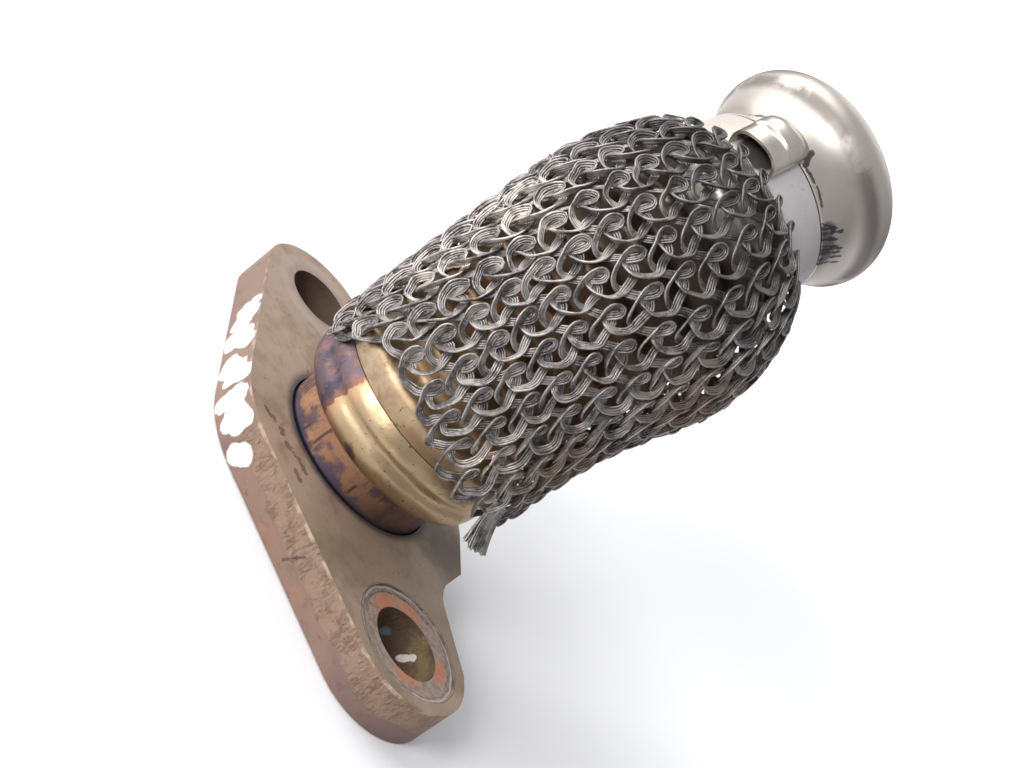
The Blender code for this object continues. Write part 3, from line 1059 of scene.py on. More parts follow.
    def dress_rings(self, steel: Steel) -> None:
        """Tint the rings round both bolt holes and darken the bores.

        Args:
            steel: The plate's finish.
        """
        graph = steel.graph
        uneven = graph.waver(steel.place, 500.0, 0.8 * MM, 2.0)
        for side in Side:
            measured = self.from_axis(graph, steel.place, self.hole(side))
            away = graph.maths("ADD", measured, uneven)
            ring = graph.ramp(away, 0.0080, 0.0088, 1.0, 0.0)
            if side is Side.RIGHT:
                steel.paint(ring, srgb(150, 136, 128), 0.9)
                rough = graph.patchy(steel.place, 1300.0, 0.46, 0.62, 6.0)
                steel.paint(graph.times(rough, ring), srgb(112, 96, 86), 0.7)
                self.dress_seat(steel, away)
                for radius in (0.0078, 0.0086):
                    groove = graph.ramp(graph.off(away, radius), 0.0, 0.00016, 1.0, 0.0)
                    steel.paint(groove, srgb(88, 78, 80), 0.7)
                shine = graph.ramp(graph.off(away, 0.0082), 0.0, 0.0002, 1.0, 0.0)
                steel.paint(shine, srgb(196, 184, 182), 0.7)
            else:
                steel.paint(ring, srgb(172, 156, 148), 0.55)
                steel.paint(graph.ramp(away, 0.0058, 0.0070, 1.0, 0.0), srgb(146, 126, 120), 0.6)
            steel.paint(graph.ramp(measured, 0.00532, 0.00545, 1.0, 0.0), srgb(92, 72, 56), 0.9)
        self.dress_bore(steel)

    def dress_seat(self, steel: Steel, away: Socket) -> None:
        """Rust the seat round the worn hole: orange in four places, crumbly all over.

        Args:
            steel: The plate's finish.
            away: Distance of the surface from the hole's axis, in metres.
        """
        graph = steel.graph
        inside = graph.ramp(away, 0.0068, 0.0078, 1.0, 0.0)
        for x, y, radius in ((-5.9, -2.2, 3.3), (-6.0, 2.6, 3.4), (4.6, -1.6, 3.2), (2.4, 5.6, 3.0)):
            centre = self.hole(Side.RIGHT) + Vector((x, y, self.thickness)) * MM
            rust = graph.spot(steel.place, centre, radius * MM, 2.6 * MM, 0.7)
            steel.paint(graph.times(rust, inside), srgb(184, 112, 78), 0.8)
        crumbs = graph.times(graph.patchy(steel.place, 2000.0, 0.5, 0.6), inside)
        steel.paint(crumbs, srgb(150, 96, 72), 0.5)

    def dress_bore(self, steel: Steel) -> None:
        """Stain the worn hole's wall olive, with one bright and one bluish place.

        Args:
            steel: The plate's finish.
        """
        graph = steel.graph
        hole = self.hole(Side.RIGHT)
        wall = graph.ramp(self.from_axis(graph, steel.place, hole), 0.00534, 0.00542, 1.0, 0.0)
        for x, y, z, radius in ((-2.4, 4.7, 5.6, 2.6), (1.4, 5.1, 4.4, 3.2)):
            olive = graph.spot(steel.place, hole + Vector((x, y, z)) * MM, radius * MM, 6.0 * MM, 0.6)
            steel.paint(graph.times(olive, wall), srgb(138, 120, 84), 0.75)
        ends = (hole + Vector((-2.3, 4.8, 1.6)) * MM, hole + Vector((-1.4, 5.1, 3.4)) * MM)
        bright = graph.stroke(steel.place, ends, 0.62 * MM, 0.8 * MM)
        steel.paint(graph.times(bright, wall), srgb(236, 224, 220))
        blue = graph.spot(steel.place, hole + Vector((-5.0, 1.8, 2.6)) * MM, 1.1 * MM, 1.0 * MM, 0.5)
        steel.paint(graph.times(blue, wall), srgb(136, 152, 168), 0.85)

    def daub(self, steel: Steel, side: Socket) -> None:
        """Lay plain white paint daubs, a few loose brush strokes each, along the edge on the -Y side.

        Args:
            steel: The plate's finish.
            side: Mask of the side edge.
        """
        graph = steel.graph
        dice = random.Random(11)
        strokes = []
        places = ((-21.6, 3.9, 1.9, 4), (-16.2, 3.3, 1.8, 4), (-8.8, 3.4, 2.3, 5), (-0.6, 3.6, 2.3, 6))
        for x, z, spread, count in places:
            for _ in range(count):
                ends = []
                for _ in range(2):
                    along, up = dice.uniform(-spread, spread), dice.uniform(-spread, spread)
                    ends.append(self.edge_point(x + 1.2 * along, min(max(z + up, 1.0), 5.9)))
                strokes.append((ends[0], ends[1]))
        strokes.append((self.edge_point(5.6, 1.6), self.edge_point(6.4, 2.6)))
        paint = graph.times(graph.marks(steel.place, strokes, 1.7 * MM, 1.0 * MM), side)
        steel.paint(paint, srgb(244, 243, 240))
        steel.unmetal(paint)


# Turned and formed pieces on the hose line


@dataclass
class Neck:
    """Neck tube in the plate, the seal weld under it and the formed cuff that closes the bellows on it."""

    line: HoseLine
    radius: float = 12.77
    wall: float = 1.5
    foot: float = -5.5
    top: float = 10.5
    weld_gap: float = 0.3
    weld_leg: float = 1.3
    weld_bead: float = 1.0
    ripples: float = 48.0
    ripple_height: float = 0.06
    cuff_wall: float = 0.55
    lip_radius: float = 13.67
    cuff_start: float = 5.1
    first_ridge: Point2 = (8.5, 16.15)
    groove: Point2 = (10.0, 15.72)
    second_ridge: Point2 = (11.2, 16.0)
    cuff_end: Point2 = (13.38, 15.25)
    patch_start: float = math.radians(108.0)
    patch_end: float = math.radians(164.0)

    def build_tube(self) -> Piece:
        """Turn the neck tube, its ends a little rounded.

        Returns:
            The finished neck tube.
        """
        soft = 0.25
        outer = [(self.foot, self.radius - soft), (self.foot + soft, self.radius)]
        outer += [(self.top - soft, self.radius), (self.top, self.radius - soft)]
        tube = lathe("tinted_neck", walled(outer, self.wall), 128)
        self.line.carry(tube)
        smooth(tube)
        return tube

    def build_weld(self) -> Piece:
        """Turn the seal weld: a rounded bead inside the plate's foot, with ripples along it.

        Returns:
            The finished weld.
        """
        face = self.foot - self.weld_gap
        section = [(face - self.weld_bead, self.radius), (face, self.radius)]
        section.append((face, self.radius - self.weld_leg))
        section += arc((face - 0.05, self.radius - 0.05), self.weld_bead, 255.0, 195.0, 5)
        weld = lathe("rippled_seal_weld", section, 144)
        for vertex in weld.data.vertices:
            inward = self.radius - math.hypot(vertex.co.x, vertex.co.y)
            if inward > 0.1 and vertex.co.z < face - 0.05:
                around = math.atan2(vertex.co.y, vertex.co.x)
                wave = math.sin(self.ripples * around + 0.8 * inward)
                vertex.co.z += self.ripple_height * (1.0 + wave)
        self.line.carry(weld)
        smooth(weld, 60.0)
        return weld

    def build_cuff(self) -> Piece:
        """Form the cuff: lip, two shallow ridges and a closing end, with small dents left by its tool.

        Returns:
            The finished cuff.
        """
        guide = [(self.cuff_start, self.lip_radius), (5.75, 14.75), (6.9, 15.8)]
        guide += [self.first_ridge, self.groove, self.second_ridge, (12.4, 15.72), self.cuff_end]
        guide = [guide[0], *guide, guide[-1]]
        outer = [(point.x, point.y) for point in smooth_line([Vector(point) for point in guide], 6)]
        outer.append(self.cuff_end)
        cuff = lathe("golden_cuff", walled(outer, self.cuff_wall), 160)
        for vertex in cuff.data.vertices:
            dent = noise.noise(vertex.co * 0.22) * 0.2 + noise.noise(vertex.co * 0.6) * 0.06
            share = (vertex.co.z - self.cuff_start) / (self.cuff_end[0] - self.cuff_start)
            push = 1.0 + dent * math.sin(math.pi * min(max(share, 0.0), 1.0)) / self.radius
            vertex.co.x *= push
            vertex.co.y *= push
        self.line.carry(cuff)
        smooth(cuff, 60.0)
        return cuff

    def dress_weld(self, weld: Piece) -> None:
        """Dress the weld in scaled grey steel.

        Args:
            weld: The finished weld.
        """
        steel = Steel("weld_steel", srgb(128, 122, 120), 0.45, 0.9, bump=0.4)
        steel.paint(steel.graph.patchy(steel.place, 300.0, 0.5, 0.65), srgb(92, 80, 88), 0.8)
        dress(weld, steel.close())

    def dress_tube(self, tube: Piece) -> None:
        """Tint the neck purple, blue and brown by heat, with a dark line at the plate.

        Args:
            tube: The finished neck tube.
        """
        steel = Steel("tinted_steel", srgb(168, 126, 98), 0.4, 0.6, bump=0.25)
        graph = steel.graph
        height = graph.maths("SUBTRACT", graph.split(steel.place)["Z"], self.line.origin.z)
        steel.paint(graph.patchy(steel.place, 160.0, 0.42, 0.6), srgb(194, 150, 120), 0.9)
        steel.paint(graph.patchy(steel.place, 210.0, 0.5, 0.6, 7.0), srgb(102, 88, 98), 0.9)
        stretch = graph.node("ShaderNodeMapping")
        graph.feed(stretch.inputs["Vector"], steel.place)
        stretch.inputs["Rotation"].default_value = (0.0, math.radians(38.0), 0.0)
        stretch.inputs["Scale"].default_value = (1.0, 1.0, 0.16)
        steel.paint(graph.patchy(stretch.outputs["Vector"], 800.0, 0.56, 0.64), srgb(66, 54, 62), 0.8)
        wavy = graph.patchy(steel.place, 480.0, 0.3, 0.7, 6.0)
        level = graph.maths("SUBTRACT", height, graph.times(wavy, 0.0018))
        steel.paint(graph.ramp(level, -0.0002, 0.0008, 1.0, 0.0), srgb(92, 88, 108), 0.85)
        steel.paint(graph.ramp(height, 0.00015, 0.0005, 1.0, 0.0), srgb(34, 32, 44), 0.95)
        far_side = self.line.origin + Vector((14.0, 4.0, 1.0)) * MM
        burnt = graph.spot(steel.place, far_side, 13.0 * MM, 6.0 * MM, 0.6)
        steel.paint(burnt, srgb(92, 72, 70), 0.75)
        steel.roughen(graph.patchy(steel.place, 300.0, 0.4, 0.7), 0.15)
        dress(tube, steel.close())

    def dress_cuff(self, cuff: Piece) -> None:
        """Give the cuff its straw gold, one sharp-edged heat patch, a small stain and dark pits.

        Args:
            cuff: The finished cuff.
        """
        steel = gold_finish("golden_steel")
        graph = steel.graph
        from_neck = graph.vectors("SUBTRACT", steel.place, self.line.origin)["Vector"]
        ragged = graph.waver(steel.place, 700.0, 2.4 * MM)
        distances = []
        for turn, way in ((self.patch_end, 1.0), (self.patch_start, -1.0)):
            angle = self.line.azimuth + turn
            border = (math.sin(angle) * way, -math.cos(angle) * way, 0.0)
            across = graph.vectors("DOT_PRODUCT", from_neck, border)["Value"]
            distances.append(graph.maths("ADD", across, ragged))
        inside = graph.maths("MINIMUM", distances[0], distances[1])
        steel.paint(graph.ramp(inside, -0.0034, -0.0002), srgb(226, 184, 140), 0.55)
        patch = graph.ramp(inside, 0.0, 0.0003)
        steel.paint(patch, srgb(134, 88, 80), 0.85)
        deep = graph.ramp(inside, 0.0006, 0.0013)
        steel.paint(deep, srgb(118, 104, 112), 0.9)
        mottled = graph.times(deep, graph.patchy(steel.place, 330.0, 0.5, 0.6, 6.0))
        steel.paint(mottled, srgb(164, 122, 106), 0.7)
        blue = graph.times(deep, graph.patchy(steel.place, 520.0, 0.52, 0.64, 6.0))
        steel.paint(blue, srgb(84, 76, 90), 0.75)
        near_lip = self.line.origin + Vector((9.6, -11.6, 6.6)) * MM
        stain = graph.spot(steel.place, near_lip, 1.7 * MM, 5.0 * MM, 0.6)
        steel.paint(stain, srgb(92, 72, 74), 0.85)
        steel.roughen(patch, 0.12)
        dress(cuff, steel.close())


def gold_finish(name: str) -> Steel:
    """Straw-coloured heat tint on dulled steel, with browner, paler and dark places.

    Args:
        name: Name of the material.

    Returns:
        The finish, open for further layers.
    """
    steel = Steel(name, srgb(190, 167, 133), 0.39, 0.95, bump=0.24, fine=1800.0, coarse=260.0)
    graph = steel.graph
    steel.paint(graph.patchy(steel.place, 75.0, 0.42, 0.62), srgb(176, 152, 122), 0.85)
    steel.paint(graph.patchy(steel.place, 140.0, 0.54, 0.68), srgb(216, 192, 164), 0.6)
    steel.paint(graph.patchy(steel.place, 1500.0, 0.63, 0.69), srgb(84, 66, 46), 0.8)
    steel.roughen(graph.patchy(steel.place, 220.0, 0.4, 0.7), 0.16)
    return steel


@dataclass
class Bellows:
    """Corrugated tube over a smooth gas liner, closed by a plain band at the outlet end."""

    line: HoseLine
    start: float = 7.0
    first: float = 13.0
    count: int = 8
    pitch: float = 5.5
    end: float = 60.2
    shoulder: Point2 = (13.43, 15.1)
    near_radius: float = 13.57
    far_radius: float = 14.1
    height: float = 2.4
    wall: float = 0.5
    crest_power: float = 0.85
    swell_power: int = 6
    liner_start: float = 0.3
    liner_end: float = 62.0
    liner_radius: float = 10.87
    liner_wall: float = 0.6
    liner_thin: float = 0.35
    liner_pitch: float = 2.4
    liner_overlap: float = 0.72
    liner_ramp: float = 0.15

    def build(self) -> Piece:
        """Turn the corrugated tube with round crests and round roots.

        Returns:
            The finished bellows.
        """
        samples = 12
        outer = [(self.start, self.near_radius), (self.shoulder[0], self.near_radius)]
        for step in range(1, self.count * samples + 1):
            wave = 0.5 - 0.5 * math.cos(math.tau * step / samples)
            share = step / (self.count * samples)
            root = self.near_radius + (self.far_radius - self.near_radius) * share**self.swell_power
            if step < samples / 2:
                root = self.shoulder[1]
            rise = self.near_radius + self.height - root
            outer.append((self.first + self.pitch * step / samples, root + rise * wave**self.crest_power))
        outer.append((self.end, self.far_radius))
        bellows = lathe("golden_bellows", walled(outer, self.wall), 96)
        self.line.carry(bellows)
        smooth(bellows, 60.0)
        return bellows

    def build_liner(self) -> Piece:
        """Turn the gas liner with the fine steps of an interlocked strip.

        Returns:
            The finished liner.
        """
        low, high = self.liner_start, self.liner_end
        wide, narrow = self.liner_radius - self.liner_thin, self.liner_radius - self.liner_wall
        turns = int((high - low) / self.liner_pitch)
        inner = []
        for turn in range(turns):
            foot = low + (high - low) * turn / turns
            next_foot = low + (high - low) * (turn + 1) / turns
            edge = foot + self.liner_overlap * (next_foot - foot)
            inner += [(foot, wide), (edge, wide)]
            inner += [(edge + self.liner_ramp, narrow), (next_foot - self.liner_ramp, narrow)]
        inner.append((high, wide))
        outer = [(high - (high - low) * turn / turns, self.liner_radius) for turn in range(turns + 1)]
        liner = lathe("interlocked_liner", inner + outer, 72)
        self.line.carry(liner)
        smooth(liner)
        return liner

    def dress(self, bellows: Piece, liner: Piece) -> None:
        """Lay gold on the bellows, brown in places, with painted shade that darkens it towards the outlet and
        a painted silver reflection near its far end, and sooty patches on the liner.

        Args:
            bellows: The finished bellows.
            liner: The finished liner.
        """
        steel = gold_finish("bellows_gold")
        graph = steel.graph
        height = graph.split(steel.place)["Z"]
        # Painted shade: the bellows darken in two steps towards the outlet end, inside the sleeve.
        steel.paint(graph.ramp(height, 0.026, 0.036), srgb(138, 112, 90), 0.85)
        steel.paint(graph.patchy(steel.place, 110.0, 0.5, 0.64), srgb(152, 118, 92), 0.5)
        steel.paint(graph.ramp(height, 0.040, 0.056), srgb(84, 74, 68), 0.85)
        # Painted reflection: a silver-white spot near the far end.
        bright = graph.spot(steel.place, Vector((-4.0, -2.0, 70.0)) * MM, 12.0 * MM, 9.0 * MM, 0.6)
        steel.paint(bright, srgb(205, 200, 190), 0.85)
        dress(bellows, steel.close())
        sooty = Steel("liner_steel", srgb(150, 142, 132), 0.42, 0.9)
        sooty.paint(sooty.graph.patchy(sooty.place, 130.0, 0.42, 0.66), srgb(84, 76, 68), 0.8)
        dress(liner, sooty.close())


@dataclass
class Outlet:
    """Outlet tube, the band round its start, the flared cup at its end and the hooded lug beside the cup."""

    line: HoseLine
    radius: float = 13.3
    wall: float = 1.3
    tube_start: float = 58.0
    crease: float = 68.1
    band_start: float = 57.4
    band_end: float = 60.2
    band_radius: float = 14.65
    band_wall: float = 0.5
    spigot_length: float = 4.0
    spigot_gap: float = 0.3
    crest_radius: float = 16.15
    bead_radius: float = 4.3
    bead_position: float = 9.0
    mouth_angle: float = 21.4
    mouth_land: float = 1.3
    cup_wall: float = 1.2
    flare_width: float = 20.0
    lug_angle: float = 168.0
    lug_width: float = 7.8
    lug_start: float = 61.7
    lug_end: float = 70.2
    lug_lean: float = 1.2
    lug_height: float = 2.5
    lug_step: float = 65.2
    lug_step_height: float = 0.42
    lug_step_sharpness: float = 9.0
    lug_squareness: float = 0.8
    lug_fullness: float = 0.72
    lug_closing: float = 0.62
    lug_taper: float = 0.18
    lug_gap: float = 0.03
    lug_sheet: float = 0.5
    lug_mesh: int = 56

    def build_tube(self) -> Piece:
        """Turn the outlet tube up to the crease.

        Returns:
            The finished outlet tube.
        """
        soft = 0.2
        outer = [(self.tube_start, self.radius - soft), (self.tube_start + soft, self.radius)]
        outer += [(self.crease - 0.45, self.radius), (self.crease - 0.3, self.radius - 0.12)]
        tube = lathe("matte_outlet_tube", walled(outer, self.wall), 128)
        self.line.carry(tube)
        smooth(tube)
        return tube

    def build_band(self) -> Piece:
        """Turn the band that closes the bellows on the outlet tube.

        Returns:
            The finished band.
        """
        low, high, outside = self.band_start, self.band_end, self.band_radius
        soft, inside = 0.25, outside - self.band_wall
        outer = [(low, outside - soft), (low + soft, outside), (high - soft, outside), (high, outside - soft)]
        band = lathe("closing_band", outer + [(high, inside), (low, inside)], 96)
        self.line.carry(band)
        smooth(band)
        return band

    def build_cup(self) -> Piece:
        """Turn the cup: spigot, trumpet, round bead and a flat land at the mouth.

        Returns:
            The finished cup.
        """
        spigot = self.radius - self.wall - self.spigot_gap
        base = self.crease
        foot = base - self.spigot_length
        bead = (base + self.bead_position, self.crest_radius - self.bead_radius)
        away, rise = self.bead_position - 0.3, self.radius - bead[1]
        flare = (away**2 + rise**2 - self.bead_radius**2) / (2.0 * (self.bead_radius - rise))
        turn = math.degrees(math.atan2(flare + rise, away))
        outer = [(foot, spigot), (base - 0.05, spigot), (base - 0.05, self.radius - 0.15)]
        outer.append((base + 0.1, self.radius))
        outer += arc((base + 0.3, self.radius + flare), flare, -89.0, -turn, 22)
        outer += arc(bead, self.bead_radius, 180.0 - turn - 3.0, self.mouth_angle, 30)
        mouth, rim = outer[-1]
        inner = [(mouth, rim - self.mouth_land)]
        inner += arc(bead, self.bead_radius - self.cup_wall, 37.0, 140.0, 18)
        inner += [(base + self.cup_wall, spigot - self.cup_wall), (foot, spigot - self.cup_wall)]
        cup = lathe("polished_cup", outer + inner, 160)
        self.line.carry(cup)
        smooth(cup, 35.0)
        return cup

    def trumpet(self, height: float) -> float:
        """Outer radius of the tube, and of the cup's first part.

        Args:
            height: Place along the hose in millimetres.

        Returns:
            The radius in millimetres.
        """
        beyond = max(height - self.crease - 0.3, 0.0)
        return self.radius + beyond**2 / self.flare_width

    def build_lug(self) -> Piece:
        """Press the lug from one sheet: an arched hood, open towards the sleeve and closed at the cup.

        Returns:
            The finished lug.
        """
        deselect()
        cells = self.lug_mesh
        bpy.ops.mesh.primitive_grid_add(x_subdivisions=cells, y_subdivisions=cells, size=2.0)
        lug = bpy.context.object
        length = self.lug_end - self.lug_start
        for vertex in lug.data.vertices:
            turn = math.pi / 2.0 * vertex.co.x
            along = (vertex.co.y + 1.0) / 2.0
            height = self.lug_start + length * along
            across = math.copysign(abs(math.sin(turn)) ** self.lug_squareness, turn)
            arch = max(math.cos(turn), 0.0) ** self.lug_fullness
            step = 1.0 / (1.0 + math.exp((self.lug_step - height) * self.lug_step_sharpness))
            rise = self.lug_height + self.lug_step_height * step * arch**1.5
            closing = min(max((along - self.lug_closing) / (1.0 - self.lug_closing), 0.0), 1.0)
            rise *= math.sqrt(max(1.0 - closing**2.4, 0.0))
            width = self.lug_width / 2.0 * (1.0 - self.lug_taper * closing**2)
            angle = math.radians(self.lug_angle) + across * width / self.radius
            radius = self.trumpet(height) + rise * arch + self.lug_gap
            lean = self.lug_lean * arch * (1.0 - along) ** 2
            vertex.co = (radius * math.cos(angle), radius * math.sin(angle), height + lean)
        sheet = lug.modifiers.new("sheet", "SOLIDIFY")
        sheet.thickness = self.lug_sheet
        sheet.offset = -1.0
        finish_modifiers(lug)
        self.line.carry(lug)
        face_out(lug)
        smooth(lug, 50.0)
        return settle(lug, "pressed_lug")

    def dress_tube(self, tube: Piece) -> None:
        """Dress the tube in matte lilac grey, bright on one side, with painted shade under the hood.

        Args:
            tube: The finished outlet tube.
        """
        matte = Steel("tube_steel", srgb(214, 209, 211), 0.5, 0.5, bump=0.1)
        graph = matte.graph
        matte.paint(graph.patchy(matte.place, 90.0, 0.45, 0.65), srgb(200, 194, 197), 0.6)
        matte.paint(graph.patchy(matte.place, 1400.0, 0.64, 0.7), srgb(120, 112, 112), 0.4)
        bright = graph.spot(matte.place, self.on_tube(60.0, 118.0), 15.0 * MM, 2.0 * MM, 0.25)
        matte.paint(bright, srgb(222, 212, 200), 0.9)
        # Painted shade: a dark strip on the tube under the lug's hood.
        hood = (self.on_tube(63.6, self.lug_angle), self.on_tube(69.0, self.lug_angle))
        matte.paint(graph.stroke(matte.place, hood, 3.2 * MM, 0.3 * MM), srgb(58, 50, 46), 0.9)
        dress(tube, matte.close())

    def dress_cup(self, cup: Piece) -> None:
        """Give the cup its warm polish, duller and with a painted dark reflection along the bead's foot,
        sooty marks along the crease, a painted shadow at the lug's end and a painted dark reflection of the
        sleeve low on the trumpet.

        Args:
            cup: The finished cup.
        """
        polish = Steel("bright_steel", srgb(204, 197, 190), 0.38, 1.0, bump=0.05, coarse=180.0)
        graph = polish.graph
        polish.paint(graph.patchy(polish.place, 60.0, 0.45, 0.65, 2.0), srgb(196, 186, 178), 0.7)
        polish.roughen(graph.patchy(polish.place, 120.0, 0.4, 0.7), 0.12)
        # Painted dark reflection along the bead's foot, where the finish is also made rougher.
        bead_foot = graph.ramp(graph.off(self.along(polish), self.crease + 7.0), 0.3, 1.7, 1.0, 0.0)
        dulled = graph.times(bead_foot, graph.patchy(polish.place, 150.0, 0.3, 0.5))
        polish.paint(dulled, srgb(122, 116, 112), 0.8)
        polish.roughen(dulled, 0.15)
        stripes = [((68.5, 190.0), (68.7, 199.0)), ((68.8, 201.0), (68.6, 213.0))]
        stripes.append(((68.6, 138.0), (70.2, 152.0)))
        lines = [(self.on_tube(*start), self.on_tube(*end)) for start, end in stripes]
        polish.paint(graph.marks(polish.place, lines, 0.22 * MM, 1.0 * MM), srgb(84, 74, 68), 0.85)
        # Painted shadow where the lug's end meets the trumpet.
        lug_end_shadow = (self.on_tube(68.6, 187.0), self.on_tube(70.4, 182.5))
        polish.paint(graph.stroke(polish.place, lug_end_shadow, 0.45 * MM, 0.8 * MM), srgb(66, 58, 54), 0.85)
        # Painted reflection of the sleeve: dark spots and fine dark lines on the lower trumpet.
        for turn in (229.0, 238.0, 247.0):
            sleeve_reflection_spot = graph.spot(polish.place, self.on_tube(68.8, turn), 1.9 * MM, 1.8 * MM, 0.4)
            polish.paint(sleeve_reflection_spot, srgb(96, 95, 100), 0.75)
        polish.paint(graph.marks(polish.place, self.sleeve_reflection_lines(), 0.26 * MM, 0.9 * MM), srgb(62, 62, 70), 0.8)
        dress(cup, polish.close())

    def sleeve_reflection_lines(self) -> list[Line]:
        """Fine dark lines that run out of the painted reflection of the sleeve on the cup.

        Returns:
            Both ends of each streak, in metres.
        """
        dice = random.Random(29)
        lines = []
        for number in range(9):
            turn = 223.0 + 3.6 * number + dice.uniform(-1.0, 1.0)
            far = 70.2 + 0.22 * number + dice.uniform(-0.5, 0.7)
            lines.append((self.on_tube(68.2, turn), self.on_tube(far, turn + dice.uniform(2.0, 7.0))))
        return lines

    def dress_lug_and_band(self, lug: Piece, band: Piece) -> None:
        """Polish the pressed lug and darken the hidden band.

        Args:
            lug: The finished lug.
            band: The finished closing band.
        """
        pressed = Steel("lug_steel", srgb(220, 214, 206), 0.28, 1.0, bump=0.05)
        pressed.paint(pressed.graph.patchy(pressed.place, 160.0, 0.45, 0.65), srgb(194, 184, 172), 0.6)
        dress(lug, pressed.close())
        hidden = Steel("band_steel", srgb(96, 88, 82), 0.5, 0.8)
        hidden.paint(hidden.graph.patchy(hidden.place, 130.0, 0.45, 0.65), srgb(74, 64, 58), 0.7)
        dress(band, hidden.close())

    def along(self, steel: Steel) -> Socket:
        """Height of the surface along the outlet's straight axis.

        Args:
            steel: The finish that needs it.

        Returns:
            The height in millimetres.
        """
        graph = steel.graph
        foot, tip = (self.line.place(Vector((0.0, 0.0, height))) for height in (self.tube_start, self.crease))
        moved = graph.vectors("SUBTRACT", steel.place, foot)["Vector"]
        reach = graph.vectors("DOT_PRODUCT", moved, (tip - foot).normalized())["Value"]
        return graph.maths("ADD", graph.times(reach, 1.0 / MM), self.tube_start)

    def on_tube(self, height: float, degrees: float) -> Vector:
        """A place on the outlet's surface.

        Args:
            height: Place along the hose in millimetres.
            degrees: Angle round it, from the side of the bend.

        Returns:
            The place in the part's frame, in metres.
        """
        radius, angle = self.trumpet(height), math.radians(degrees)
        return self.line.place(Vector((radius * math.cos(angle), radius * math.sin(angle), height)))


# Knitted sleeve


class Strand(Enum):
    """The two ways in which the sleeve's wire bundles run."""

    ROUND = "round"
    ALONG = "along"


@dataclass(frozen=True)
class Tuft:
    """Loose wire ends at one stitch: wires, their length and lift in millimetres, spread in stitches."""

    column: float
    row: float
    wires: int
    length: float
    lift: float = 0.8
    spread: float = 0.3
    lean: float = 0.3


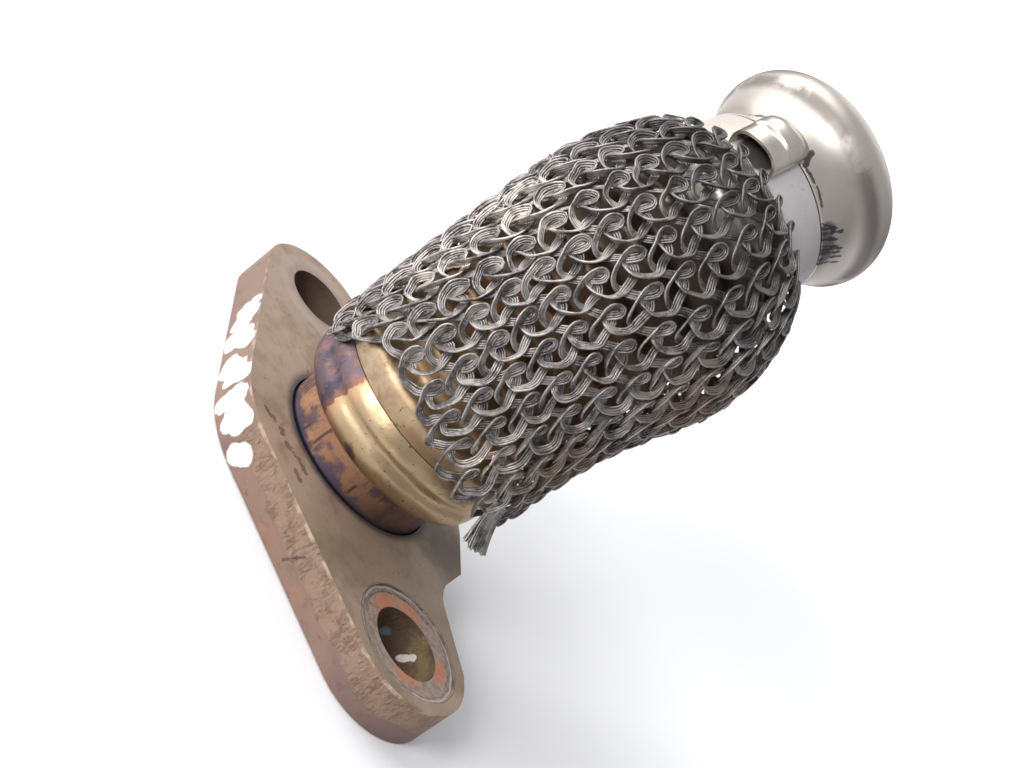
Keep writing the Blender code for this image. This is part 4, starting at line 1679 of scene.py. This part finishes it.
@dataclass
class KnittedSleeve:
    """Sleeve of looped wire bundles round the bellows, free at the plate and gathered at the outlet.

    A stitch is drawn on a flat cell: millimetres along the hose, millimetres round it, millimetres outwards
    and the roll of the bundle in degrees, where 0 lays its wires side by side and 90 stacks them.
    """

    line: HoseLine
    stitches_around: int = 25
    rows: int = 12
    filaments: int = 4
    steps: int = 2
    wire_radius: float = 0.17
    wire_spacing: float = 0.31
    wire_wander: float = 0.07
    cell_length: float = 3.75
    cell_width: float = 4.65
    depth: float = 0.8
    start_radius: float = 18.1
    end_radius: float = 17.6
    swell: float = 2.6
    swell_share: float = 0.68
    sag: float = 1.0
    form_start: float = 12.7
    form_end: float = 62.0
    free_edge: float = 10.9
    edge_reach: float = 6.5
    edge_angle: float = math.radians(177.0)
    edge_sharpness: float = 4.0
    corner_start: float = math.radians(120.0)
    corner_end: float = math.radians(163.0)
    end: float = 60.3
    end_skew: float = 0.6
    end_angle: float = math.radians(-90.0)
    gather_from: float = 0.9
    end_wall_radius: float = 15.75
    wide_stray: float = 0.19
    fine_stray: float = 0.07
    edge_stray: float = 0.9
    seed: int = 7
    tufts: tuple[Tuft, ...] = (
        Tuft(9.0, 0.4, 4, 2.4, lift=0.6),
        Tuft(17.5, 0.9, 44, 5.4, lift=2.9, spread=0.95, lean=0.14),
        Tuft(8.3, 7.0, 6, 2.6),
        Tuft(8.0, 7.3, 5, 2.2),
        Tuft(8.5, 5.6, 3, 1.8),
    )

    def round_stitch(self) -> list[Vector]:
        """Bundle that runs round the hose: a bow over its neighbour, then a curl back under itself.

        Returns:
            The points of one stitch.
        """
        bow = [(0.0, 0.0, -0.05, 50.0), (0.08, 0.6, -0.35, 30.0), (0.4, 1.35, -0.45, 10.0)]
        bow += [(1.0, 2.05, -0.35, 15.0), (1.73, 2.75, -0.4, 10.0), (2.45, 3.2, -0.25, 5.0)]
        bow += [(3.15, 3.42, -0.15, 15.0), (3.6, 3.05, -0.1, 50.0), (3.3, 2.48, 0.15, 60.0)]
        bow += [(2.65, 2.25, 0.4, 66.0), (1.9, 2.5, 0.5, 66.0), (1.15, 3.02, 0.5, 68.0)]
        bow += [(0.48, 3.55, 0.42, 68.0), (0.1, 4.12, 0.2, 60.0)]
        return [Vector(point) for point in bow]

    def lengthwise_stitch(self) -> list[Vector]:
        """Bundle that runs along the hose: a hanging bow, a flat rise and a curl behind to the next bow.

        Returns:
            The points of one stitch.
        """
        hook = [(1.7, -1.3, -0.15, 20.0), (1.56, -0.7, 0.3, 62.0), (1.78, 0.1, 0.5, 70.0)]
        hook += [(2.4, 0.8, 0.52, 70.0), (3.2, 1.32, 0.45, 66.0), (3.95, 1.42, 0.25, 50.0)]
        hook += [(4.55, 1.02, 0.0, 15.0), (5.2, 0.55, -0.3, 5.0)]
        hook += [(5.85, 0.08, -0.5, 0.0), (6.1, -0.65, -0.6, 0.0), (5.85, -1.3, -0.5, 0.0)]
        return [Vector(point) for point in hook]

    def free_start(self, angle: float) -> float:
        """Height of the sleeve's free edge.

        Args:
            angle: Angle round the hose.

        Returns:
            The height in millimetres.
        """
        angle %= math.tau
        hang = 1.0
        if angle > self.edge_angle:
            hang = (0.5 + 0.5 * math.cos(angle - self.edge_angle)) ** self.edge_sharpness
        corner = min(max((angle - self.corner_start) / (self.corner_end - self.corner_start), 0.0), 1.0)
        return self.free_edge + self.edge_reach * hang * corner * corner * (3.0 - 2.0 * corner)

    def form(self, height: float) -> tuple[float, float]:
        """Outer radius of the sleeve, and how far it hangs.

        Args:
            height: Place along the hose in millimetres.

        Returns:
            The radius and the hang in millimetres.
        """
        share = min(max((height - self.form_start) / (self.form_end - self.form_start), 0.0), 1.0)
        lean = math.log(0.5) / math.log(self.swell_share)
        fullness = math.sin(math.pi * share**lean) ** 2
        plain = self.start_radius + (self.end_radius - self.start_radius) * share
        return plain + self.swell * fullness, self.sag * (1.0 + fullness)

    def on_sleeve(self, column: float, row: float, out: float) -> Vector:
        """Place of a knit point.

        Args:
            column: Position around, in stitches.
            row: Position along, in rows.
            out: Distance outwards from the wall's middle, in millimetres.

        Returns:
            The place in the part's frame, in metres.
        """
        angle = math.tau * column / self.stitches_around
        start = self.free_start(angle)
        end = self.end + self.end_skew * math.cos(angle - self.end_angle)
        share = row / self.rows
        height = start + (end - start) * share
        radius, sag = self.form(height)
        closing = min(max((share - self.gather_from) / (1.0 - self.gather_from), 0.0), 1.0) ** 2
        radius += (self.end_wall_radius - radius) * closing
        sag *= 1.0 - 0.9 * closing
        radius += out - self.depth * (1.0 - 0.5 * closing)
        straight = Vector((radius * math.cos(angle), radius * math.sin(angle) - sag, height))
        return self.line.place(straight)

    def stray(self, column: float, row: float) -> tuple[float, float]:
        """How far a worn stitch has moved from its cell.

        Args:
            column: Position around, in stitches.
            row: Position along, in rows.

        Returns:
            The moves round the hose and along it, in cells.
        """
        wander = Vector((column * 0.5, row * 0.5, self.seed * 3.1))
        fine = wander * 4.0
        beside = Vector((9.0, 4.0, 2.0))
        loose = 1.0 + self.edge_stray * min(max(1.0 - row, 0.0), 1.0)
        around = self.wide_stray * noise.noise(wander) + self.fine_stray * noise.noise(fine)
        along = self.wide_stray * noise.noise(wander + beside) + self.fine_stray * noise.noise(fine + beside)
        return loose * around, loose * along

    def bundle_line(self, kind: Strand, index: int) -> list[Vector]:
        """Centre line of one bundle in cells: along, around, outwards in millimetres and roll in degrees.

        Args:
            kind: Which way the bundle runs.
            index: Its row, or its place round the hose.

        Returns:
            Evenly stepped points of a smooth line through every stitch.
        """
        points = []
        if kind is Strand.ROUND:
            for stitch in range(self.stitches_around):
                shift = Vector((index * self.cell_length, stitch * self.cell_width, 0.0, 0.0))
                points += [point + shift for point in self.round_stitch()]
            turn = Vector((0.0, self.stitches_around * self.cell_width, 0.0, 0.0))
            points = [points[-1] - turn] + points + [points[0] + turn, points[1] + turn]
        else:
            for stitch in range(self.rows - 1):
                shift = Vector((stitch * self.cell_length, index * self.cell_width, 0.0, 0.0))
                points += [point + shift for point in self.lengthwise_stitch()]
            points = [points[0]] + points + [points[-1]]
        return smooth_line(points, self.steps)

    def wire_lines(self, kind: Strand, index: int) -> list[list[Vector]]:
        """Lines of the single wires of one bundle, in the part's frame.

        Args:
            kind: Which way the bundle runs.
            index: Its row, or its place round the hose.

        Returns:
            One line of points for each wire.
        """
        middle, outward, rolls, cells = [], [], [], []
        for along, around, out, roll in self.bundle_line(kind, index):
            row, column = along / self.cell_length, around / self.cell_width
            moved, pushed = self.stray(column, row)
            centre = self.on_sleeve(column + moved, row + pushed, out)
            above = self.on_sleeve(column + moved, row + pushed, out + 1.0)
            middle.append(centre)
            outward.append((above - centre).normalized())
            loose = noise.noise(Vector((column * 1.1, row * 1.1, self.seed)))
            rolls.append(math.radians(roll) + 0.6 * loose)
            cells.append(Vector((column * 1.6, row * 1.6, self.seed)))
        wires = [[] for _ in range(self.filaments)]
        last = len(middle) - 1
        for step, centre in enumerate(middle):
            before, after = step - 1, step + 1
            if kind is Strand.ROUND:
                before, after = before % len(middle), after % len(middle)
            direction = (middle[min(after, last)] - middle[max(before, 0)]).normalized()
            sideways = direction.cross(outward[step]).normalized()
            across = sideways * math.cos(rolls[step]) + outward[step] * math.sin(rolls[step])
            for number, wire in enumerate(wires):
                place = number - (self.filaments - 1) / 2.0
                own = cells[step] + Vector((0.0, 0.0, 3.7 * number))
                shift = place * self.wire_spacing + self.wire_wander * noise.noise(own)
                lift = outward[step] * (2.0 * self.wire_wander * noise.noise(own * 1.3))
                wire.append(centre + (across * shift + lift) * MM)
        return wires

    def knit(self, kind: Strand) -> list[Piece]:
        """Lay all bundles that run one way, each wire number as one piece.

        Args:
            kind: Which way the bundles run.

        Returns:
            One finished mesh for each wire of the bundle.
        """
        count = self.rows if kind is Strand.ROUND else self.stitches_around
        bundles = [self.wire_lines(kind, index) for index in range(count)]
        pieces = []
        for number in range(self.filaments):
            lines = [bundle[number] for bundle in bundles]
            name = f"{kind.value}_wire_{number + 1}"
            pieces.append(tube_through(name, lines, self.wire_radius * MM, closed=kind is Strand.ROUND))
        return pieces

    def fray(self) -> Piece:
        """Lay the loose wire ends: a thick frayed stub at the free edge and short bristles.

        Returns:
            All loose ends as one mesh.
        """
        dice = random.Random(self.seed)
        strands = []
        for tuft in self.tufts:
            for strand in range(tuft.wires):
                lean = dice.uniform(-tuft.lean, tuft.lean)
                rise = tuft.lift * dice.uniform(0.7, 1.2)
                direction = -1.0 if tuft.row < 1.0 else dice.choice((-1.0, 1.0))
                root = tuft.column + tuft.spread * (strand / tuft.wires - 0.5)
                points = []
                for step in range(7):
                    share = step / 6.0
                    far = tuft.length * share
                    column = root + lean * share * far / self.cell_width
                    row = tuft.row + direction * far / self.cell_length - 0.1 * lean * share
                    points.append(self.on_sleeve(column, row, 0.3 + rise * share**1.4))
                strands.append(points)
        return tube_through("frayed_wire_ends", strands, self.wire_radius * 0.8 * MM, closed=False)

    def dress(self, pieces: list[Piece]) -> None:
        """Dress all wires alike: grey with dark and brown scale, painted shade towards the outlet, and silver
        where worn, partly as a painted highlight.

        Args:
            pieces: The finished wires.
        """
        steel = Steel("wire_steel", srgb(172, 166, 163), 0.46, 0.8, bump=0.25, fine=5000.0, coarse=900.0)
        graph = steel.graph
        steel.paint(graph.patchy(steel.place, 420.0, 0.42, 0.6), srgb(92, 87, 86), 0.85)
        steel.paint(graph.patchy(steel.place, 2600.0, 0.5, 0.64), srgb(186, 180, 176), 0.6)
        # Painted shade: the wires darken towards the outlet end.
        steel.paint(graph.ramp(graph.split(steel.place)["Z"], 0.050, 0.072), srgb(96, 94, 94), 0.7)
        steel.paint(graph.patchy(steel.place, 130.0, 0.58, 0.7), srgb(104, 84, 72), 0.45)
        # Silver where the wires are worn, partly a painted highlight on the side towards the key lamp.
        worn_and_highlit_places = ((-4.5, -27.5, 37.0, 8.0), (-8.5, -24.5, 47.0, 9.0), (-2.5, -24.5, 50.0, 6.0))
        worn_and_highlit = self.places(steel, worn_and_highlit_places, 14.0)
        worn_and_highlit = graph.times(worn_and_highlit, graph.patchy(steel.place, 600.0, 0.36, 0.6))
        steel.paint(worn_and_highlit, srgb(226, 216, 206), 0.9)
        browned = self.places(steel, ((18.5, -3.0, 32.0, 9.0), (17.0, 2.0, 50.0, 9.0)), 10.0)
        steel.paint(browned, srgb(158, 137, 120), 0.65)
        bare = graph.spot(steel.place, Vector((16.5, -13.5, 27.5)) * MM, 4.5 * MM, 6.0 * MM, 0.6)
        bare = graph.times(bare, graph.patchy(steel.place, 900.0, 0.42, 0.58))
        steel.paint(bare, srgb(226, 206, 190), 0.85)
        material = steel.close()
        for piece in pieces:
            dress(piece, material)

    def places(self, steel: Steel, spots: tuple[tuple[float, ...], ...], ragged: float) -> Socket:
        """One mask of several ragged places on the sleeve.

        Args:
            steel: The wires' finish.
            spots: X, Y, Z and radius of each place, in millimetres.
            ragged: How far noise moves their edges, in millimetres.

        Returns:
            The mask, 1 inside.
        """
        masks = []
        for x, y, z, radius in spots:
            centre = Vector((x, y, z)) * MM
            masks.append(steel.graph.spot(steel.place, centre, radius * MM, ragged * MM, 0.7))
        return steel.graph.most(masks)


def smooth_line(points: list[Vector], steps: int) -> list[Vector]:
    """Step evenly along a smooth line through points, from the second to the last but one.

    Args:
        points: Points of the line, with one more at either end to steer it.
        steps: Steps between two points.

    Returns:
        The stepped points.
    """
    line = []
    for index in range(1, len(points) - 2):
        before, start, end, after = points[index - 1 : index + 3]
        for step in range(steps):
            t = step / steps
            bend = start * 2.0 + (end - before) * t
            bend += (before * 2.0 - start * 5.0 + end * 4.0 - after) * t * t
            bend += (start * 3.0 - before - end * 3.0 + after) * t**3
            line.append(bend * 0.5)
    return line


def tube_through(name: str, lines: list[list[Vector]], radius: float, closed: bool) -> Piece:
    """Lay a round wire along each line of points.

    Args:
        name: Name of the piece.
        lines: Lines of points in the part's frame.
        radius: Radius of the wire in metres.
        closed: Whether each line closes on itself.

    Returns:
        One mesh of all the wires.
    """
    curve = bpy.data.curves.new(name, "CURVE")
    curve.dimensions = "3D"
    curve.bevel_depth = radius
    curve.bevel_resolution = 1
    curve.use_fill_caps = not closed
    for points in lines:
        spline = curve.splines.new("POLY")
        spline.points.add(len(points) - 1)
        spline.points.foreach_set("co", [value for point in points for value in (*point, 1.0)])
        spline.use_cyclic_u = closed
    item = bpy.data.objects.new(name, curve)
    bpy.context.scene.collection.objects.link(item)
    pick(item)
    bpy.ops.object.convert(target="MESH")
    piece = bpy.context.object
    face_out(piece)
    bpy.ops.object.shade_smooth()
    return settle(piece, name)


# Studio


@dataclass(frozen=True)
class Lamp:
    """A square lamp: place and size in metres, power in watts."""

    name: str
    place: tuple[float, float, float]
    size: float
    power: float


@dataclass(frozen=True)
class Studio:
    """Pale floor, white surroundings, soft lamps and the camera of the photograph."""

    camera_place: tuple[float, float, float] = (135.613, -151.469, 100.357)
    camera_turn: tuple[float, float, float] = (59.2593, -49.1874, 66.6636)
    lens: float = 55.067
    sensor: float = 36.0
    floor_size: float = 60.0
    floor_gap: float = 0.2
    floor_colour: Colour = (0.88, 0.885, 0.92)
    floor_glow: float = 0.14
    glow_near: Point2 = (0.03, 0.09)
    glow_far: Point2 = (0.12, 0.6)
    sky_low: float = 0.2
    sky_high: float = 0.5
    aim: tuple[float, float, float] = (0.0, 0.0, 0.04)
    key: Lamp = Lamp("key", (-0.40, -0.34, 0.36), 0.6, 4.0)
    fill: Lamp = Lamp("fill", (0.12, -0.52, 0.27), 0.18, 2.1)
    rim: Lamp = Lamp("rim", (-0.3, 0.35, 0.4), 0.4, 0.5)

    def build_floor(self) -> None:
        """Lay a wide white floor under the plate's sealing face; far from the part it glows to the eye, and
        near the part its glow fades out, leaving painted shade round it.
        """
        deselect()
        below = (0.0, 0.0, -self.floor_gap * MM)
        bpy.ops.mesh.primitive_plane_add(size=self.floor_size, location=below)
        floor = settle(bpy.context.object, "studio_floor")
        material = bpy.data.materials.new("pale_floor")
        material.use_nodes = True
        graph = Graph(material.node_tree)
        shader = material.node_tree.nodes["Principled BSDF"]
        shader.inputs["Base Color"].default_value = (*self.floor_colour, 1.0)
        shader.inputs["Roughness"].default_value = 0.9
        shader.inputs["Specular IOR Level"].default_value = 0.1
        shader.inputs["Emission Color"].default_value = (1.0, 1.0, 1.0, 1.0)
        place = graph.node("ShaderNodeTexCoord").outputs["Object"]
        away = graph.vectors("DISTANCE", place, (0.0, 0.0, 0.0))["Value"]
        # Painted shade: the glow fades out near the part, so the floor reads darker round it.
        near = graph.ramp(away, *self.glow_near, 0.0, self.floor_glow)
        far = graph.ramp(away, *self.glow_far, 0.0, 1.0 - self.floor_glow)
        glow = graph.maths("ADD", near, far)
        seen = graph.node("ShaderNodeLightPath").outputs["Is Camera Ray"]
        graph.feed(shader.inputs["Emission Strength"], graph.times(glow, seen))
        dress(floor, material)

    def build_world(self) -> None:
        """White for the camera, a soft sky that pales upwards for light and reflections."""
        world = bpy.data.worlds.new("white_room")
        bpy.context.scene.world = world
        world.use_nodes = True
        graph = Graph(world.node_tree)
        background = world.node_tree.nodes["Background"]
        background.inputs["Color"].default_value = (1.0, 1.0, 1.0, 1.0)
        height = graph.split(graph.node("ShaderNodeTexCoord").outputs["Generated"])["Z"]
        sky = graph.ramp(height, -0.1, 0.8, self.sky_low, self.sky_high)
        seen = graph.node("ShaderNodeLightPath").outputs["Is Camera Ray"]
        rest = graph.times(sky, graph.maths("SUBTRACT", 1.0, seen))
        graph.feed(background.inputs["Strength"], graph.maths("ADD", rest, seen))

    def build_lamps(self) -> None:
        """Hang a large key beside the plate's far ear, a low fill near the camera and a rim behind."""
        for lamp in (self.key, self.fill, self.rim):
            light = bpy.data.lights.new(lamp.name, "AREA")
            light.shape = "SQUARE"
            light.size = lamp.size
            light.energy = lamp.power
            item = bpy.data.objects.new(lamp.name, light)
            bpy.context.scene.collection.objects.link(item)
            item.location = lamp.place
            ahead = Vector(self.aim) - Vector(lamp.place)
            item.rotation_euler = ahead.to_track_quat("-Z", "Y").to_euler()

    def build_camera(self) -> None:
        """Set the camera where the photograph was taken from."""
        view = bpy.data.cameras.new("photo_view")
        view.lens = self.lens
        view.sensor_width = self.sensor
        view.clip_start = 0.01
        camera = bpy.data.objects.new("photo_view", view)
        bpy.context.scene.collection.objects.link(camera)
        camera.location = Vector(self.camera_place) * MM
        camera.rotation_euler = [math.radians(turn) for turn in self.camera_turn]
        bpy.context.scene.camera = camera

    def build(self) -> None:
        """Set up the whole studio."""
        bpy.context.scene.view_settings.view_transform = "Standard"
        self.build_floor()
        self.build_world()
        self.build_lamps()
        self.build_camera()


def main() -> None:
    """Build and dress the hose piece by piece, then the studio."""
    logging.basicConfig(level=logging.INFO, format="%(name)s: %(message)s")
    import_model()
    low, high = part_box("neck_tube")
    middle = (low + high) / 2.0
    line = HoseLine(Vector((middle.x, middle.y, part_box("flange")[1].z)))

    plate = Plate(line)
    worn_plate = plate.build()
    plate.dress(worn_plate)
    stand_for(worn_plate, "flange")

    neck = Neck(line)
    tube, weld, cuff = neck.build_tube(), neck.build_weld(), neck.build_cuff()
    neck.dress_tube(tube)
    neck.dress_cuff(cuff)
    neck.dress_weld(weld)
    stand_for(tube, "neck_tube")
    stand_for(weld, "seal_weld")
    stand_for(cuff, "bellows_cuff")

    bellows = Bellows(line)
    waves, liner = bellows.build(), bellows.build_liner()
    bellows.dress(waves, liner)
    stand_for(waves, "bellows")
    stand_for(liner, "gas_liner")

    outlet = Outlet(line)
    end_tube, cup = outlet.build_tube(), outlet.build_cup()
    lug, band = outlet.build_lug(), outlet.build_band()
    outlet.dress_tube(end_tube)
    outlet.dress_cup(cup)
    outlet.dress_lug_and_band(lug, band)
    stand_for(end_tube, "outlet_tube")
    stand_for(cup, "flared_cup")
    stand_for(lug, "locating_lug")
    stand_for(band, "outlet_band")

    sleeve = KnittedSleeve(line)
    wires = sleeve.knit(Strand.ROUND) + sleeve.knit(Strand.ALONG) + [sleeve.fray()]
    sleeve.dress(wires)
    for wire in wires:
        stand_for(wire, "knitted_sleeve")

    Studio().build()


if __name__ == "__main__":
    main()
